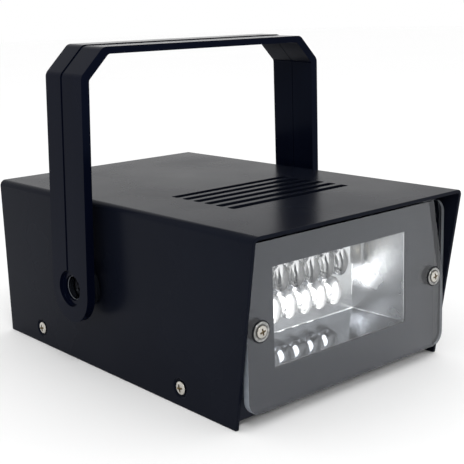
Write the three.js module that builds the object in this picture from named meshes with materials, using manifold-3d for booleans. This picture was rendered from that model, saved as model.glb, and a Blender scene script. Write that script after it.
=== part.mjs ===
// A small strobe light: a folded sheet-metal housing with a window full of LEDs behind a clear
// plate, hung in a turning handle. Millimetres, +Z up. The lamp shines towards -Y.
// The housing is drawn with y = 0 at its back edge and z = 0 at the foot of its skirts, and the
// whole group is then shifted along Y so that the bounding box is centred on the origin.

import * as THREE from 'three';
import { mergeVertices } from 'three/addons/utils/BufferGeometryUtils.js';
import Module from 'manifold-3d';

const wasm = await Module();
wasm.setup();

// Clearances and helpers shared by all pieces
const seat = 0.2;
const turnGap = 0.3;
const boreGap = 0.25;
const shankGap = 0.15;
const overrun = 2;
const weldTolerance = 0.0001;

// Cover: an upside-down U of sheet
const coverWidth = 125;
const coverHeight = 79.5;
const coverDepth = 192;
const coverSheet = 1.6;
const coverBend = 3;
const skirtSetback = 13.2;
const slotCount = 6;
const slotLength = 70;
const slotWidth = 4.4;
const slotOffset = 2.1;
const slotPitch = 7.62;
const slotFromFront = 46.8;

// Dimples and screws that join the cover to the tray
const coverScrewFromFront = 48;
const coverScrewFromBack = 32;
const coverScrewHeight = 8;
const dimpleMouthRadius = 4.5;
const dimpleFloorRadius = 3.55;
const dimpleDepth = 1;
const coverScrewHeadRadius = 2.9;
const coverScrewHeadHeight = 1.25;
const coverScrewRadius = 1.5;
const coverScrewGrip = 6;

// Tray: floor, front panel, rear panel and side flanges
const traySheet = 1.2;
const trayBend = 1.6;
const trayLift = 2;
const trayFrontSetback = 15;
const trayRearSetback = 2;
const trayTopGap = 0.8;
const traySideGap = 0.4;
const trayFlangeHeight = 14;
const trayFlangeEndGap = 4;

// Window, clear plate and its screws
const windowSideInset = 19.4;
const windowHeight = 42;
const windowRise = 1.25;
const plateThickness = 3;
const plateStandoff = 4.3;
const plateSideGap = 0.8;
const plateTopGap = 3.1;
const plateLift = 6.3;
const plateCorner = 6.3;
const lensScrewInset = 7.1;
const lensScrewRise = 0.15;
const lensScrewRadius = 1.5;
const lensHeadRadius = 2.5;
const lensHeadHeight = 1.3;
const lensScrewTail = 1.2;
const lensWasherRadius = 4.1;
const lensWasherThickness = 0.7;
const lensWasherFloor = 0.35;
const lensWasherRim = 0.8;
const lensSleeveRadius = 4;
const lensNutAcross = 5.5;
const lensNutThickness = 2.4;

// Reflector and LEDs
const reflectorSheet = 0.8;
const reflectorDepth = 26.1;
const reflectorSideTaper = 5.4;
const reflectorRiseTaper = 1.9;
const reflectorWindowGap = 0.3;
const reflectorFlangeSide = 4.5;
const reflectorFlangeRise = 4;
const ledRows = 2;
const ledPitch = 9.3;
const ledSideGap = 11.5;
const ledRowPitch = 12.8;
const ledHalfWidth = 4;
const ledHalfHeight = 6.6;
const ledFlangeStep = 0.45;
const ledFlangeThickness = 1;
const ledHeight = 10;
const ledBoardThickness = 1.6;
const ledBoardSide = 3.5;
const ledBoardRise = 1.4;
const ledBoardGap = 1.9;
const pegInset = 2.2;
const pegRadius = 1.3;
const pegShoulderRadius = 2;
const pegTail = 1.6;

// Handle: a strap with chamfered corners and round leg ends
const pivotFromBack = 79.5;
const pivotHeight = 40.2;
const handleTilt = THREE.MathUtils.degToRad(1.49);
const strapWidth = 28;
const strapThickness = 4;
const crossbarThickness = 3.1;
const strapRaise = 0.4;
const strapStepBack = 1.6;
const legGap = 6.43;
const legSplay = 2.57;
const chamferDrop = 11.9;
const chamferRun = 11.8;
const handleReach = 106.7;
const strapCornerRadius = 4;
const legEndDrop = 1.5;
const recessRadius = 8.4;
const recessFloor = 2.6;
const padRadius = 9.8;
const padRaise = 0.5;

// Friction spacers, pivot screws and nuts
const spacerRadius = 9.8;
const spacerRim = 1.2;
const hubRadius = 5.6;
const hubBoreRadius = 5.2;
const hubFloor = 3.5;
const hubSink = 0.8;
const pivotScrewRadius = 2;
const pivotHeadRadius = 4.9;
const pivotHeadHeight = 2.2;
const pivotNutAcross = 7;
const pivotNutThickness = 3.2;
const pivotScrewTail = 1.2;

// Rate control on the rear panel
const controlFromCentre = 30;
const controlHeight = 48;
const potBodyRadius = 8;
const potBodyLength = 7;
const potBushRadius = 4.5;
const potBushStandout = 2.9;
const potBoreDepth = 5;
const shaftRadius = 3;
const potNutAcross = 12;
const potNutThickness = 2;
const knobRadius = 8;
const knobCapRadius = 7.3;
const knobLength = 14;
const knobGap = 1;
const knobRoof = 3;
const knobEdge = 1;
const pointerWidth = 1.6;
const pointerRaise = 0.7;

// Cord gland in the rear panel
const glandFromCentre = 30;
const glandHeight = 22;
const glandBoreRadius = 3.5;
const glandBodyRadius = 6;
const glandFlangeRadius = 8;
const glandFlangeThickness = 2.5;
const glandMouthRadius = 5.6;
const glandMouthLength = 6;
const glandTail = 8;
const glandNutAcross = 17;
const glandNutThickness = 4;

// Driver board and what is mounted on it
const boardSideGap = 15.9;
const boardDepth = 60;
const boardThickness = 1.6;
const boardFromRear = 14;
const postHeight = 6;
const postAcross = 5;
const postInset = 5;
const coreWidth = 35;
const coreHeight = 29;
const coreStack = 15;
const coreYoke = 5.8;
const coreLegWidth = 11;
const coreWindowWidth = 6.2;
const windingBulge = 5;
const windingCorner = 2;
const transformerXShare = -0.24;
const transformerYShare = 0.04;
const capacitorRadius = 8;
const capacitorHeight = 25;
const capacitorEdge = 1;
const capacitorXShare = 0.2;
const capacitorYShare = -0.18;
const chipLength = 9.6;
const chipWidth = 6.4;
const chipHeight = 3.3;
const chipLift = 0.6;
const chipLegs = 4;
const chipLegPitch = 2.54;
const chipLegWidth = 0.6;
const chipLegReach = 0.9;
const chipXShare = 0.1;
const chipYShare = 0.26;
const transistorWidth = 10;
const transistorThickness = 4.5;
const transistorHeight = 9;
const transistorTab = 1.3;
const transistorTabHeight = 15.5;
const transistorLegs = 3;
const transistorLegPitch = 2.54;
const transistorLegWidth = 0.9;
const transistorLift = 4;
const transistorXShare = 0.4;
const transistorYShare = -0.28;
const rectifierRadius = 4.6;
const rectifierHeight = 5.8;
const rectifierLift = 1.5;
const rectifierLegs = 4;
const rectifierLegCircle = 2.6;
const rectifierLegWidth = 0.8;
const rectifierXShare = 0.38;
const rectifierYShare = 0.04;
const terminalPoles = 3;
const terminalPitch = 5;
const terminalDepth = 8;
const terminalHeight = 10;
const terminalMouth = 3;
const terminalMouthDepth = 5;
const terminalScrewRadius = 1.5;
const terminalScrewDepth = 2;
const terminalXShare = 0.3;
const terminalYShare = 0.36;

// Phillips crosses
const crossWidthShare = 0.26;
const crossLengthShare = 1.25;
const crossDepthShare = 0.55;

// How finely curves are divided
const arcSteps = 3;
const roundSteps = 18;
const smallSteps = 12;
const recessSteps = 24;
const bendSteps = 2;
const cornerSteps = 3;
const legEndSteps = 10;

// Places worked out from the sizes above
const coverHalf = coverWidth / 2;
const coverInnerHalf = coverHalf - coverSheet;
const coverInnerTop = coverHeight - coverSheet;
const frontY = -coverDepth;
const panelFrontY = frontY + trayFrontSetback;
const panelBackY = panelFrontY + traySheet;
const rearOuterY = -trayRearSetback;
const rearInnerY = rearOuterY - traySheet;
const trayTop = coverInnerTop - trayTopGap;
const trayHalf = coverInnerHalf - traySideGap;
const trayFloorTop = trayLift + traySheet;
const flangeHalf = coverHalf - dimpleDepth - coverSheet - turnGap;
const middleZ = coverHeight / 2;
const windowZ = middleZ + windowRise;
const plateBackY = panelFrontY - plateStandoff;
const plateFrontY = plateBackY - plateThickness;
const plateHalf = coverInnerHalf - plateSideGap;
const plateTop = coverInnerTop - plateTopGap;
const lensScrewX = plateHalf - lensScrewInset;
const lensScrewZ = middleZ + lensScrewRise;
const windowWidth = 2 * (plateHalf - windowSideInset);
const pivotY = -pivotFromBack;
const reflectorBackWidth = windowWidth - 2 * reflectorSideTaper;
const reflectorBackHeight = windowHeight - 2 * reflectorRiseTaper;
const ledColumns = Math.floor((reflectorBackWidth - 2 * ledSideGap) / ledPitch) + 1;
const reflectorFrontY = panelBackY + seat;
const reflectorBackY = reflectorFrontY + reflectorDepth;
const ledBoardFrontY = reflectorBackY + reflectorSheet + ledBoardGap;
const boardZ = trayFloorTop + seat + postHeight + seat;
const boardTop = boardZ + boardThickness;
const boardWidth = 2 * (trayHalf - boardSideGap);
const boardCentreY = rearInnerY - boardFromRear - boardDepth / 2;
const knobFootY = rearOuterY + seat + potNutThickness + knobGap;
const knobEndY = knobFootY + knobLength;
const rearReach = knobEndY + pointerRaise;
const strapHalf = strapWidth / 2;
const legFaceX = coverHalf + legGap;
const padFaceX = legFaceX - padRaise;
const recessFloorX = legFaceX + recessFloor;
const spacerFootX = coverHalf + seat;
const spacerFaceX = padFaceX - turnGap;
const hubFloorX = spacerFootX + hubFloor;
const dimpleFloorX = coverHalf - dimpleDepth;

const UP = new THREE.Vector3(0, 0, 1);
const RIGHT = new THREE.Vector3(1, 0, 0);
const BACK = new THREE.Vector3(0, 1, 0);
const QUARTER = Math.PI / 2;
const SIDES = { left: -1, right: 1 };
const TO_FRONT = [QUARTER, 0, 0];
const TO_REAR = [-QUARTER, 0, 0];

const strobe = new THREE.Group();
strobe.position.y = (coverDepth - rearReach) / 2;

function finish(colour, roughness, metalness, extra = {}) {
  return new THREE.MeshStandardMaterial({ color: colour, roughness, metalness, ...extra });
}

const looks = {
  cover: () => finish(0x1d1e20, 0.45, 0.3),
  tray: () => finish(0x141415, 0.5, 0.3),
  plate: () => finish(0xf4f8fa, 0.05, 0, { transparent: true, opacity: 0.3 }),
  nickel: () => finish(0xb9b7ae, 0.3, 1),
  mirror: () => finish(0xe6e8ea, 0.06, 1),
  led: () => finish(0xeef4f6, 0.08, 0, { transparent: true, opacity: 0.45 }),
  handle: () => finish(0x232427, 0.4, 0),
  spacer: () => finish(0x141416, 0.2, 0),
  board: () => finish(0x2f5e3a, 0.55, 0),
  steel: () => finish(0x8d8f92, 0.4, 0.9),
  core: () => finish(0x5b5d60, 0.5, 0.7),
  copper: () => finish(0xa8622d, 0.4, 0.6),
  black: () => finish(0x19191b, 0.5, 0),
  sleeve: () => finish(0x2a3f6b, 0.35, 0),
  terminal: () => finish(0x2f7a4a, 0.45, 0),
};

// A closed geometry becomes a solid once its shared corners are welded
function solid(geometry) {
  const bare = geometry.clone();
  bare.deleteAttribute('normal');
  bare.deleteAttribute('uv');
  const welded = mergeVertices(bare, weldTolerance);
  const corners = Array.from(welded.index.array);
  const kept = [];
  for (let i = 0; i < corners.length; i += 3) {
    const [a, b, c] = corners.slice(i, i + 3);
    if (a !== b && b !== c && c !== a) {
      kept.push(a, b, c);
    }
  }
  return new wasm.Manifold(new wasm.Mesh({
    numProp: 3,
    vertProperties: new Float32Array(welded.attributes.position.array),
    triVerts: new Uint32Array(kept),
  }));
}

function surface(body) {
  const mesh = body.getMesh();
  const geometry = new THREE.BufferGeometry();
  geometry.setAttribute('position', new THREE.BufferAttribute(mesh.vertProperties, 3));
  geometry.setIndex(new THREE.BufferAttribute(mesh.triVerts, 1));
  geometry.computeVertexNormals();
  return geometry;
}

function place(name, body, look, position = [0, 0, 0], rotation = [0, 0, 0], parent = strobe) {
  const mesh = new THREE.Mesh(surface(body), looks[look]());
  mesh.name = name;
  mesh.position.set(...position);
  mesh.rotation.set(...rotation);
  parent.add(mesh);
}

// A closed outline whose corners are [x, y] or, with a rounding, [x, y, radius]
function outline(corners) {
  const shape = new THREE.Shape();
  corners.forEach(([x, y, radius = 0], i) => {
    const corner = new THREE.Vector2(x, y);
    const before = corners[(i + corners.length - 1) % corners.length];
    const after = corners[(i + 1) % corners.length];
    const back = new THREE.Vector2(before[0], before[1]).sub(corner).normalize();
    const ahead = new THREE.Vector2(after[0], after[1]).sub(corner).normalize();
    const half = Math.acos(THREE.MathUtils.clamp(back.dot(ahead), -1, 1)) / 2;
    const start = back.clone().multiplyScalar(radius / Math.tan(half));
    if (i) {
      shape.lineTo(x + start.x, y + start.y);
    } else {
      shape.moveTo(x + start.x, y + start.y);
    }
    if (radius) {
      const centre = back.clone().add(ahead).setLength(radius / Math.sin(half));
      const end = ahead.clone().multiplyScalar(radius / Math.tan(half));
      const from = start.clone().sub(centre).angle();
      const to = end.clone().sub(centre).angle();
      shape.absarc(x + centre.x, y + centre.y, radius, from, to, back.cross(ahead) > 0);
    }
  });
  return shape;
}

function rectangle(width, height, radius = 0, x = 0, y = 0) {
  return outline([
    [x - width / 2, y - height / 2, radius],
    [x + width / 2, y - height / 2, radius],
    [x + width / 2, y + height / 2, radius],
    [x - width / 2, y + height / 2, radius],
  ]);
}

function extrude(shape, depth, steps) {
  return new THREE.ExtrudeGeometry(shape, { depth, bevelEnabled: false, curveSegments: steps });
}

// An outline in X and Z, run along Y
function alongY(shape, from, to, steps = bendSteps) {
  return solid(extrude(shape, to - from, steps).rotateX(QUARTER).translate(0, to, 0));
}

// An outline in Y and Z, run along X
function alongX(shape, from, to, steps = bendSteps) {
  const turn = new THREE.Matrix4().makeBasis(BACK, UP, RIGHT);
  return solid(extrude(shape, to - from, steps).applyMatrix4(turn).translate(from, 0, 0));
}

// An outline in X and Y, run along Z
function alongZ(shape, from, to, steps = bendSteps) {
  return solid(extrude(shape, to - from, steps).translate(0, 0, from));
}

function block([x0, x1], [y0, y1], [z0, z1]) {
  return solid(new THREE.BoxGeometry(Math.abs(x1 - x0), Math.abs(y1 - y0), Math.abs(z1 - z0))
    .translate((x0 + x1) / 2, (y0 + y1) / 2, (z0 + z1) / 2));
}

function span(middle, width) {
  return [middle - width / 2, middle + width / 2];
}

// A profile of [radius, height] points turned about the Z axis
function lathe(profile, steps) {
  const points = profile.map(([radius, height]) => new THREE.Vector2(radius, height));
  return new THREE.LatheGeometry(points, steps).rotateX(QUARTER);
}

function turned(profile, steps = roundSteps) {
  return solid(lathe(profile, steps));
}

// The same about an axis along X, with heights measured outwards on the given side
function turnedX(profile, side, y, z, steps = roundSteps) {
  return solid(lathe(profile, steps).rotateY(side * QUARTER).translate(0, y, z));
}

// The same about an axis along Y, with heights measured towards the rear
function turnedY(profile, x, z, steps = roundSteps) {
  return solid(lathe(profile, steps).rotateX(-QUARTER).translate(x, 0, z));
}

function rod(radius, from, to) {
  return [[0, from], [radius, from], [radius, to], [0, to]];
}

function tube(inner, outer, from, to) {
  return [[inner, from], [outer, from], [outer, to], [inner, to], [inner, from]];
}

function quarterArc(x, y, radius, from) {
  return Array.from({ length: arcSteps + 1 }, (unused, i) => {
    const angle = from + QUARTER * i / arcSteps;
    return [x + radius * Math.cos(angle), y + radius * Math.sin(angle)];
  });
}

function circle(x, y, radius) {
  return new THREE.Path().absarc(x, y, radius, 0, Math.PI * 2);
}

function hexPrism(across, thickness, boreRadius) {
  const corner = across / Math.sqrt(3);
  const shape = outline(Array.from({ length: 6 }, (unused, i) => {
    const angle = i * Math.PI / 3;
    return [corner * Math.cos(angle), corner * Math.sin(angle)];
  }));
  shape.holes.push(circle(0, 0, boreRadius));
  return alongZ(shape, 0, thickness, roundSteps / 2);
}

// A pan-head screw: the underside of its head is at 0 and the head stands towards +Z
function screw(headRadius, headHeight, shankRadius, shankLength) {
  const body = turned([
    [0, -shankLength],
    [shankRadius, -shankLength],
    [shankRadius, 0],
    [headRadius, 0],
    [headRadius, headHeight / 2],
    [headRadius - headHeight / 8, headHeight * 3 / 4],
    [headRadius - headHeight / 2, headHeight],
    [0, headHeight],
  ]);
  const long = span(0, headRadius * crossLengthShare);
  const narrow = span(0, headRadius * crossWidthShare);
  const deep = [headHeight * (1 - crossDepthShare), headHeight + overrun];
  return body.subtract(block(long, narrow, deep)).subtract(block(narrow, long, deep));
}

// Cover: the folded sheet, its leaning front edges, the slots and the screw dimples
const coverShape = outline([
  [-coverHalf, 0],
  [-coverInnerHalf, 0],
  [-coverInnerHalf, coverInnerTop, coverBend - coverSheet],
  [coverInnerHalf, coverInnerTop, coverBend - coverSheet],
  [coverInnerHalf, 0],
  [coverHalf, 0],
  [coverHalf, coverHeight, coverBend],
  [-coverHalf, coverHeight, coverBend],
]);
const skirtShape = outline([
  [frontY, coverHeight + overrun],
  [frontY, coverHeight],
  [frontY + skirtSetback, 0],
  [frontY + skirtSetback, -overrun],
  [overrun, -overrun],
  [overrun, coverHeight + overrun],
]);
const coverScrewY = { front: frontY + coverScrewFromFront, rear: -coverScrewFromBack };
const dimpleSlope = (dimpleMouthRadius - dimpleFloorRadius) / dimpleDepth;
let cover = alongY(coverShape, frontY, 0).intersect(alongX(skirtShape, -coverWidth, coverWidth));
for (let i = 0; i < slotCount; i += 1) {
  cover = cover.subtract(block(
    span(slotOffset, slotLength),
    span(frontY + slotFromFront + i * slotPitch, slotWidth),
    [coverInnerTop - overrun, coverHeight + overrun],
  ));
}
for (const side of Object.values(SIDES)) {
  for (const y of Object.values(coverScrewY)) {
    const cup = turnedX([
      [0, dimpleFloorX - coverSheet],
      [dimpleFloorRadius + coverSheet, dimpleFloorX - coverSheet],
      [dimpleMouthRadius + coverSheet, coverHalf - coverSheet],
      [dimpleMouthRadius + coverSheet, coverHalf - coverSheet / 2],
      [0, coverHalf - coverSheet / 2],
    ], side, y, coverScrewHeight);
    const hollow = turnedX([
      [0, dimpleFloorX],
      [dimpleFloorRadius, dimpleFloorX],
      [dimpleMouthRadius + dimpleSlope * overrun, coverHalf + overrun],
      [0, coverHalf + overrun],
    ], side, y, coverScrewHeight);
    const hole = rod(coverScrewRadius + shankGap, dimpleFloorX - coverSheet - overrun, coverHalf);
    cover = cover.add(cup).subtract(hollow)
      .subtract(turnedX(hole, side, y, coverScrewHeight, smallSteps));
  }
  const pivotHole = rod(pivotScrewRadius + shankGap, coverInnerHalf - overrun, coverHalf + overrun);
  cover = cover.subtract(turnedX(pivotHole, side, pivotY, pivotHeight, smallSteps));
}
place('top_cover', cover, 'cover');

// Tray: floor and both panels in one strip, with a window, and two low flanges
const trayShape = outline([
  [panelFrontY, trayTop],
  [panelFrontY, trayLift, trayBend],
  [rearOuterY, trayLift, trayBend],
  [rearOuterY, trayTop],
  [rearInnerY, trayTop],
  [rearInnerY, trayFloorTop, trayBend - traySheet],
  [panelBackY, trayFloorTop, trayBend - traySheet],
  [panelBackY, trayTop],
]);
const trayFlangeY = [panelBackY + trayFlangeEndGap, rearInnerY - trayFlangeEndGap];
let tray = alongX(trayShape, -trayHalf, trayHalf);
for (const side of Object.values(SIDES)) {
  tray = tray
    .subtract(block(
      [side * flangeHalf, side * (trayHalf + overrun)],
      trayFlangeY,
      [trayLift - overrun, trayFloorTop + overrun],
    ))
    .add(block(
      [side * flangeHalf, side * (flangeHalf - traySheet)],
      trayFlangeY,
      [trayLift, trayLift + trayFlangeHeight],
    ));
  for (const y of Object.values(coverScrewY)) {
    const hole = rod(coverScrewRadius + shankGap, flangeHalf - traySheet - overrun, coverHalf);
    tray = tray.subtract(turnedX(hole, side, y, coverScrewHeight, smallSteps));
  }
  const lensHole = rod(lensScrewRadius + shankGap, panelFrontY - overrun, panelBackY + overrun);
  tray = tray.subtract(turnedY(lensHole, side * lensScrewX, lensScrewZ, smallSteps));
}
const rearCut = [rearInnerY - overrun, rearOuterY + overrun];
tray = tray
  .subtract(block(
    span(0, windowWidth),
    [panelFrontY - overrun, panelBackY + overrun],
    span(windowZ, windowHeight),
  ))
  .subtract(turnedY(rod(potBushRadius + boreGap, ...rearCut), controlFromCentre, controlHeight))
  .subtract(turnedY(rod(glandBodyRadius + boreGap, ...rearCut), -glandFromCentre, glandHeight));
place('base_tray', tray, 'tray');

// Cover screws, each in its dimple
const coverScrew = screw(
  coverScrewHeadRadius, coverScrewHeadHeight, coverScrewRadius, coverScrewGrip,
);
for (const [sideName, side] of Object.entries(SIDES)) {
  for (const [endName, y] of Object.entries(coverScrewY)) {
    const at = [side * (dimpleFloorX + seat), y, coverScrewHeight];
    place(`cover_screw_${sideName}_${endName}`, coverScrew, 'nickel', at, [0, side * QUARTER, 0]);
  }
}

// Clear plate, clamped by two screws through sleeves to the panel and the reflector's flange
let plate = alongY(
  rectangle(2 * plateHalf, plateTop - plateLift, plateCorner, 0, (plateTop + plateLift) / 2),
  plateFrontY, plateBackY, cornerSteps,
);
for (const side of Object.values(SIDES)) {
  const hole = rod(lensScrewRadius + shankGap, plateFrontY - overrun, plateBackY + overrun);
  plate = plate.subtract(turnedY(hole, side * lensScrewX, lensScrewZ, smallSteps));
}
place('lens_plate', plate, 'plate');

const lensWasher = turned([
  [lensScrewRadius + shankGap, 0],
  [lensWasherRadius, 0],
  [lensWasherRadius, lensWasherThickness],
  [lensWasherRadius - lensWasherRim, lensWasherThickness],
  [lensHeadRadius + shankGap, lensWasherFloor],
  [lensScrewRadius + shankGap, lensWasherFloor],
  [lensScrewRadius + shankGap, 0],
]);
const lensSleeve = turned(
  tube(lensScrewRadius + shankGap, lensSleeveRadius, 0, plateStandoff - 2 * seat), smallSteps,
);
const lensNut = hexPrism(lensNutAcross, lensNutThickness, lensScrewRadius + shankGap);
const lensWasherY = plateFrontY - seat;
const lensHeadY = lensWasherY - lensWasherFloor - seat;
const lensNutY = reflectorFrontY + reflectorSheet + seat;
const lensShank = lensNutY + lensNutThickness + lensScrewTail - lensHeadY;
const lensScrew = screw(lensHeadRadius, lensHeadHeight, lensScrewRadius, lensShank);
for (const [sideName, side] of Object.entries(SIDES)) {
  const x = side * lensScrewX;
  place(`lens_screw_${sideName}`, lensScrew, 'nickel', [x, lensHeadY, lensScrewZ], TO_FRONT);
  place(`lens_washer_${sideName}`, lensWasher, 'nickel', [x, lensWasherY, lensScrewZ], TO_FRONT);
  const sleeveAt = [x, panelFrontY - seat, lensScrewZ];
  place(`lens_spacer_${sideName}`, lensSleeve, 'black', sleeveAt, TO_FRONT);
  place(`lens_nut_${sideName}`, lensNut, 'steel', [x, lensNutY, lensScrewZ], TO_REAR);
}

// Reflector: a tapered mirrored box with a flange in front and a pierced wall at the back
function taperedBox(front, back, y0, y1, z) {
  const geometry = new THREE.BoxGeometry(1, 1, 1);
  const points = geometry.attributes.position;
  for (let i = 0; i < points.count; i += 1) {
    const [[width, height], y] = points.getY(i) < 0 ? [front, y0] : [back, y1];
    points.setXYZ(i, points.getX(i) * width, y, z + points.getZ(i) * height);
  }
  return solid(geometry);
}

const mouth = [windowWidth + 2 * reflectorWindowGap, windowHeight + 2 * reflectorWindowGap];
const throat = [reflectorBackWidth, reflectorBackHeight];
const flare = mouth.map((size, i) => size + (size - throat[i]) * overrun / reflectorDepth);
const thicker = (sizes) => sizes.map((size) => size + 2 * reflectorSheet);
const ledPlaces = [];
for (let row = 0; row < ledRows; row += 1) {
  // Every second row has one LED fewer and stands between the LEDs above it
  const inRow = ledColumns - row % 2;
  for (let column = 0; column < inRow; column += 1) {
    const x = (column - (inRow - 1) / 2) * ledPitch;
    const z = windowZ + ((ledRows - 1) / 2 - row) * ledRowPitch;
    ledPlaces.push([x, z]);
  }
}
const reflectorRearY = reflectorBackY + reflectorSheet;
let reflector = taperedBox(thicker(mouth), thicker(throat), reflectorFrontY, reflectorRearY, windowZ)
  .add(block(
    span(0, 2 * (lensScrewX + reflectorFlangeSide)),
    [reflectorFrontY, reflectorFrontY + reflectorSheet],
    span(windowZ, windowHeight + 2 * reflectorFlangeRise),
  ))
  .subtract(taperedBox(flare, throat, reflectorFrontY - overrun, reflectorBackY, windowZ));
const ledHoleRadius = ledHalfWidth + boreGap;
const ledHoleProfile = rod(ledHoleRadius, reflectorBackY - overrun, reflectorRearY + overrun);
const ledHole = lathe(ledHoleProfile, smallSteps)
  .rotateX(-QUARTER)
  .scale(1, 1, (ledHalfHeight + boreGap) / ledHoleRadius);
for (const [x, z] of ledPlaces) {
  reflector = reflector.subtract(solid(ledHole.clone().translate(x, 0, z)));
}
const pegX = (ledColumns / 2 - 1) * ledPitch;
const pegZ = reflectorBackHeight / 2 - pegInset;
for (const side of Object.values(SIDES)) {
  const flangeHole = rod(
    lensScrewRadius + shankGap, reflectorFrontY - overrun, reflectorFrontY + overrun,
  );
  const peg = [
    [0, reflectorBackY + reflectorSheet / 2],
    [pegShoulderRadius, reflectorBackY + reflectorSheet / 2],
    [pegShoulderRadius, ledBoardFrontY - seat],
    [pegRadius, ledBoardFrontY - seat],
    [pegRadius, ledBoardFrontY + ledBoardThickness + pegTail],
    [0, ledBoardFrontY + ledBoardThickness + pegTail],
  ];
  reflector = reflector
    .subtract(turnedY(flangeHole, side * lensScrewX, lensScrewZ, smallSteps))
    .add(turnedY(peg, side * pegX, windowZ + pegZ, smallSteps))
    .add(turnedY(peg, side * pegX, windowZ - pegZ, smallSteps));
}
place('reflector', reflector, 'mirror');

// LED board on the reflector's pegs, and its clear LEDs
const ledBoardY = [ledBoardFrontY, ledBoardFrontY + ledBoardThickness];
let ledBoard = block(
  span(0, reflectorBackWidth + 2 * ledBoardSide),
  ledBoardY,
  span(windowZ, reflectorBackHeight + 2 * ledBoardRise),
);
for (const side of Object.values(SIDES)) {
  for (const z of [windowZ - pegZ, windowZ + pegZ]) {
    const hole = rod(pegRadius + boreGap, ledBoardY[0] - overrun, ledBoardY[1] + overrun);
    ledBoard = ledBoard.subtract(turnedY(hole, side * pegX, z, smallSteps));
  }
}
place('led_board', ledBoard, 'board');

// An LED with an upright oval dome: a turned dome, stretched upwards
const led = solid(lathe([
  [0, 0],
  [ledHalfWidth + ledFlangeStep, 0],
  [ledHalfWidth + ledFlangeStep, ledFlangeThickness],
  [ledHalfWidth, ledFlangeThickness],
  ...quarterArc(0, ledHeight - ledHalfWidth, ledHalfWidth, 0),
], smallSteps).scale(1, ledHalfHeight / ledHalfWidth, 1));
ledPlaces.forEach(([x, z], i) => {
  const number = String(i + 1).padStart(2, '0');
  place(`led_${number}`, led, 'led', [x, ledBoardFrontY - seat, z], TO_FRONT);
});

// Handle: the strap seen from the front, cut by the strap seen from the side
const chamferFoot = handleReach - chamferDrop;

function legOuterX(z) {
  return legFaceX + strapThickness - legSplay * z / chamferFoot;
}

// Moves each edge of an open path sideways, and meets the moved edges again at its corners
function offsetPath(points, distances) {
  const edges = distances.map((distance, i) => {
    const from = new THREE.Vector2(...points[i]);
    const along = new THREE.Vector2(...points[i + 1]).sub(from).normalize();
    const out = new THREE.Vector2(-along.y, along.x).multiplyScalar(distance);
    return { from: from.clone().add(out), along, out };
  });
  return points.map((point, i) => {
    if (i === 0 || i === edges.length) {
      const edge = edges[Math.min(i, edges.length - 1)];
      return [point[0] + edge.out.x, point[1] + edge.out.y];
    }
    const [a, b] = [edges[i - 1], edges[i]];
    const share = b.from.clone().sub(a.from).cross(b.along) / a.along.cross(b.along);
    const met = a.from.clone().addScaledVector(a.along, share);
    return [met.x, met.y];
  });
}

function band(outer, inner, radius) {
  const last = outer.length - 1;
  const rounded = outer.map(([x, z], i) => (i === 0 || i === last ? [x, z] : [x, z, radius]));
  return outline([...rounded, ...[...inner].reverse()]);
}

const strapFoot = -strapHalf - legEndDrop - overrun;
const rightHalf = [
  [legOuterX(chamferFoot) - chamferRun, handleReach],
  [legOuterX(chamferFoot), chamferFoot],
  [legOuterX(strapFoot), strapFoot],
];
const strapPath = [...[...rightHalf].reverse().map(([x, z]) => [-x, z]), ...rightHalf];
const strapInside = offsetPath(strapPath, [
  -strapThickness, -strapThickness, -crossbarThickness, -strapThickness, -strapThickness,
]);
const strapMiddle = offsetPath(strapPath, Array(5).fill(-strapRaise));
const strapRaised = offsetPath(strapPath, Array(5).fill(strapRaise));
const strapSide = new THREE.Shape()
  .moveTo(-strapHalf, handleReach + overrun)
  .lineTo(-strapHalf, -legEndDrop)
  .absarc(0, -legEndDrop, strapHalf, Math.PI, Math.PI * 2)
  .lineTo(strapHalf, handleReach + overrun);
let handle = alongY(band(strapPath, strapInside, strapCornerRadius), -strapHalf, strapHalf)
  .add(alongY(band(strapRaised, strapMiddle, strapCornerRadius), strapStepBack, strapHalf))
  .intersect(alongX(strapSide, -coverWidth, coverWidth, legEndSteps));
for (const side of Object.values(SIDES)) {
  const pad = rod(padRadius, padFaceX, legFaceX + recessFloor / 2);
  const recess = rod(recessRadius, recessFloorX, recessFloorX + strapThickness);
  const hole = rod(hubRadius + boreGap, padFaceX - overrun, recessFloorX + overrun);
  handle = handle
    .add(turnedX(pad, side, 0, 0, recessSteps))
    .subtract(turnedX(recess, side, 0, 0, recessSteps))
    .subtract(turnedX(hole, side, 0, 0));
}
const handleGroup = new THREE.Group();
handleGroup.position.set(0, pivotY, pivotHeight);
handleGroup.rotation.x = handleTilt;
strobe.add(handleGroup);
place('handle', handle, 'handle', [0, 0, 0], [0, 0, 0], handleGroup);

// Friction spacers, whose hubs carry the legs, with their screws and nuts
const pivotNut = hexPrism(pivotNutAcross, pivotNutThickness, pivotScrewRadius + shankGap);
const pivotHeadX = hubFloorX + seat;
const pivotNutX = coverInnerHalf - seat;
const pivotShank = pivotHeadX - pivotNutX + pivotNutThickness + pivotScrewTail;
const pivotScrew = screw(pivotHeadRadius, pivotHeadHeight, pivotScrewRadius, pivotShank);
const rimX = spacerRadius - spacerRim;
const spacer = turned([
  [pivotScrewRadius + shankGap, spacerFootX],
  ...quarterArc(rimX, spacerFootX + spacerRim, spacerRim, -QUARTER),
  ...quarterArc(rimX, spacerFaceX - spacerRim, spacerRim, 0),
  [hubRadius, spacerFaceX],
  [hubRadius, recessFloorX - hubSink],
  [hubBoreRadius, recessFloorX - hubSink],
  [hubBoreRadius, hubFloorX],
  [pivotScrewRadius + shankGap, hubFloorX],
  [pivotScrewRadius + shankGap, spacerFootX],
]);
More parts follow.
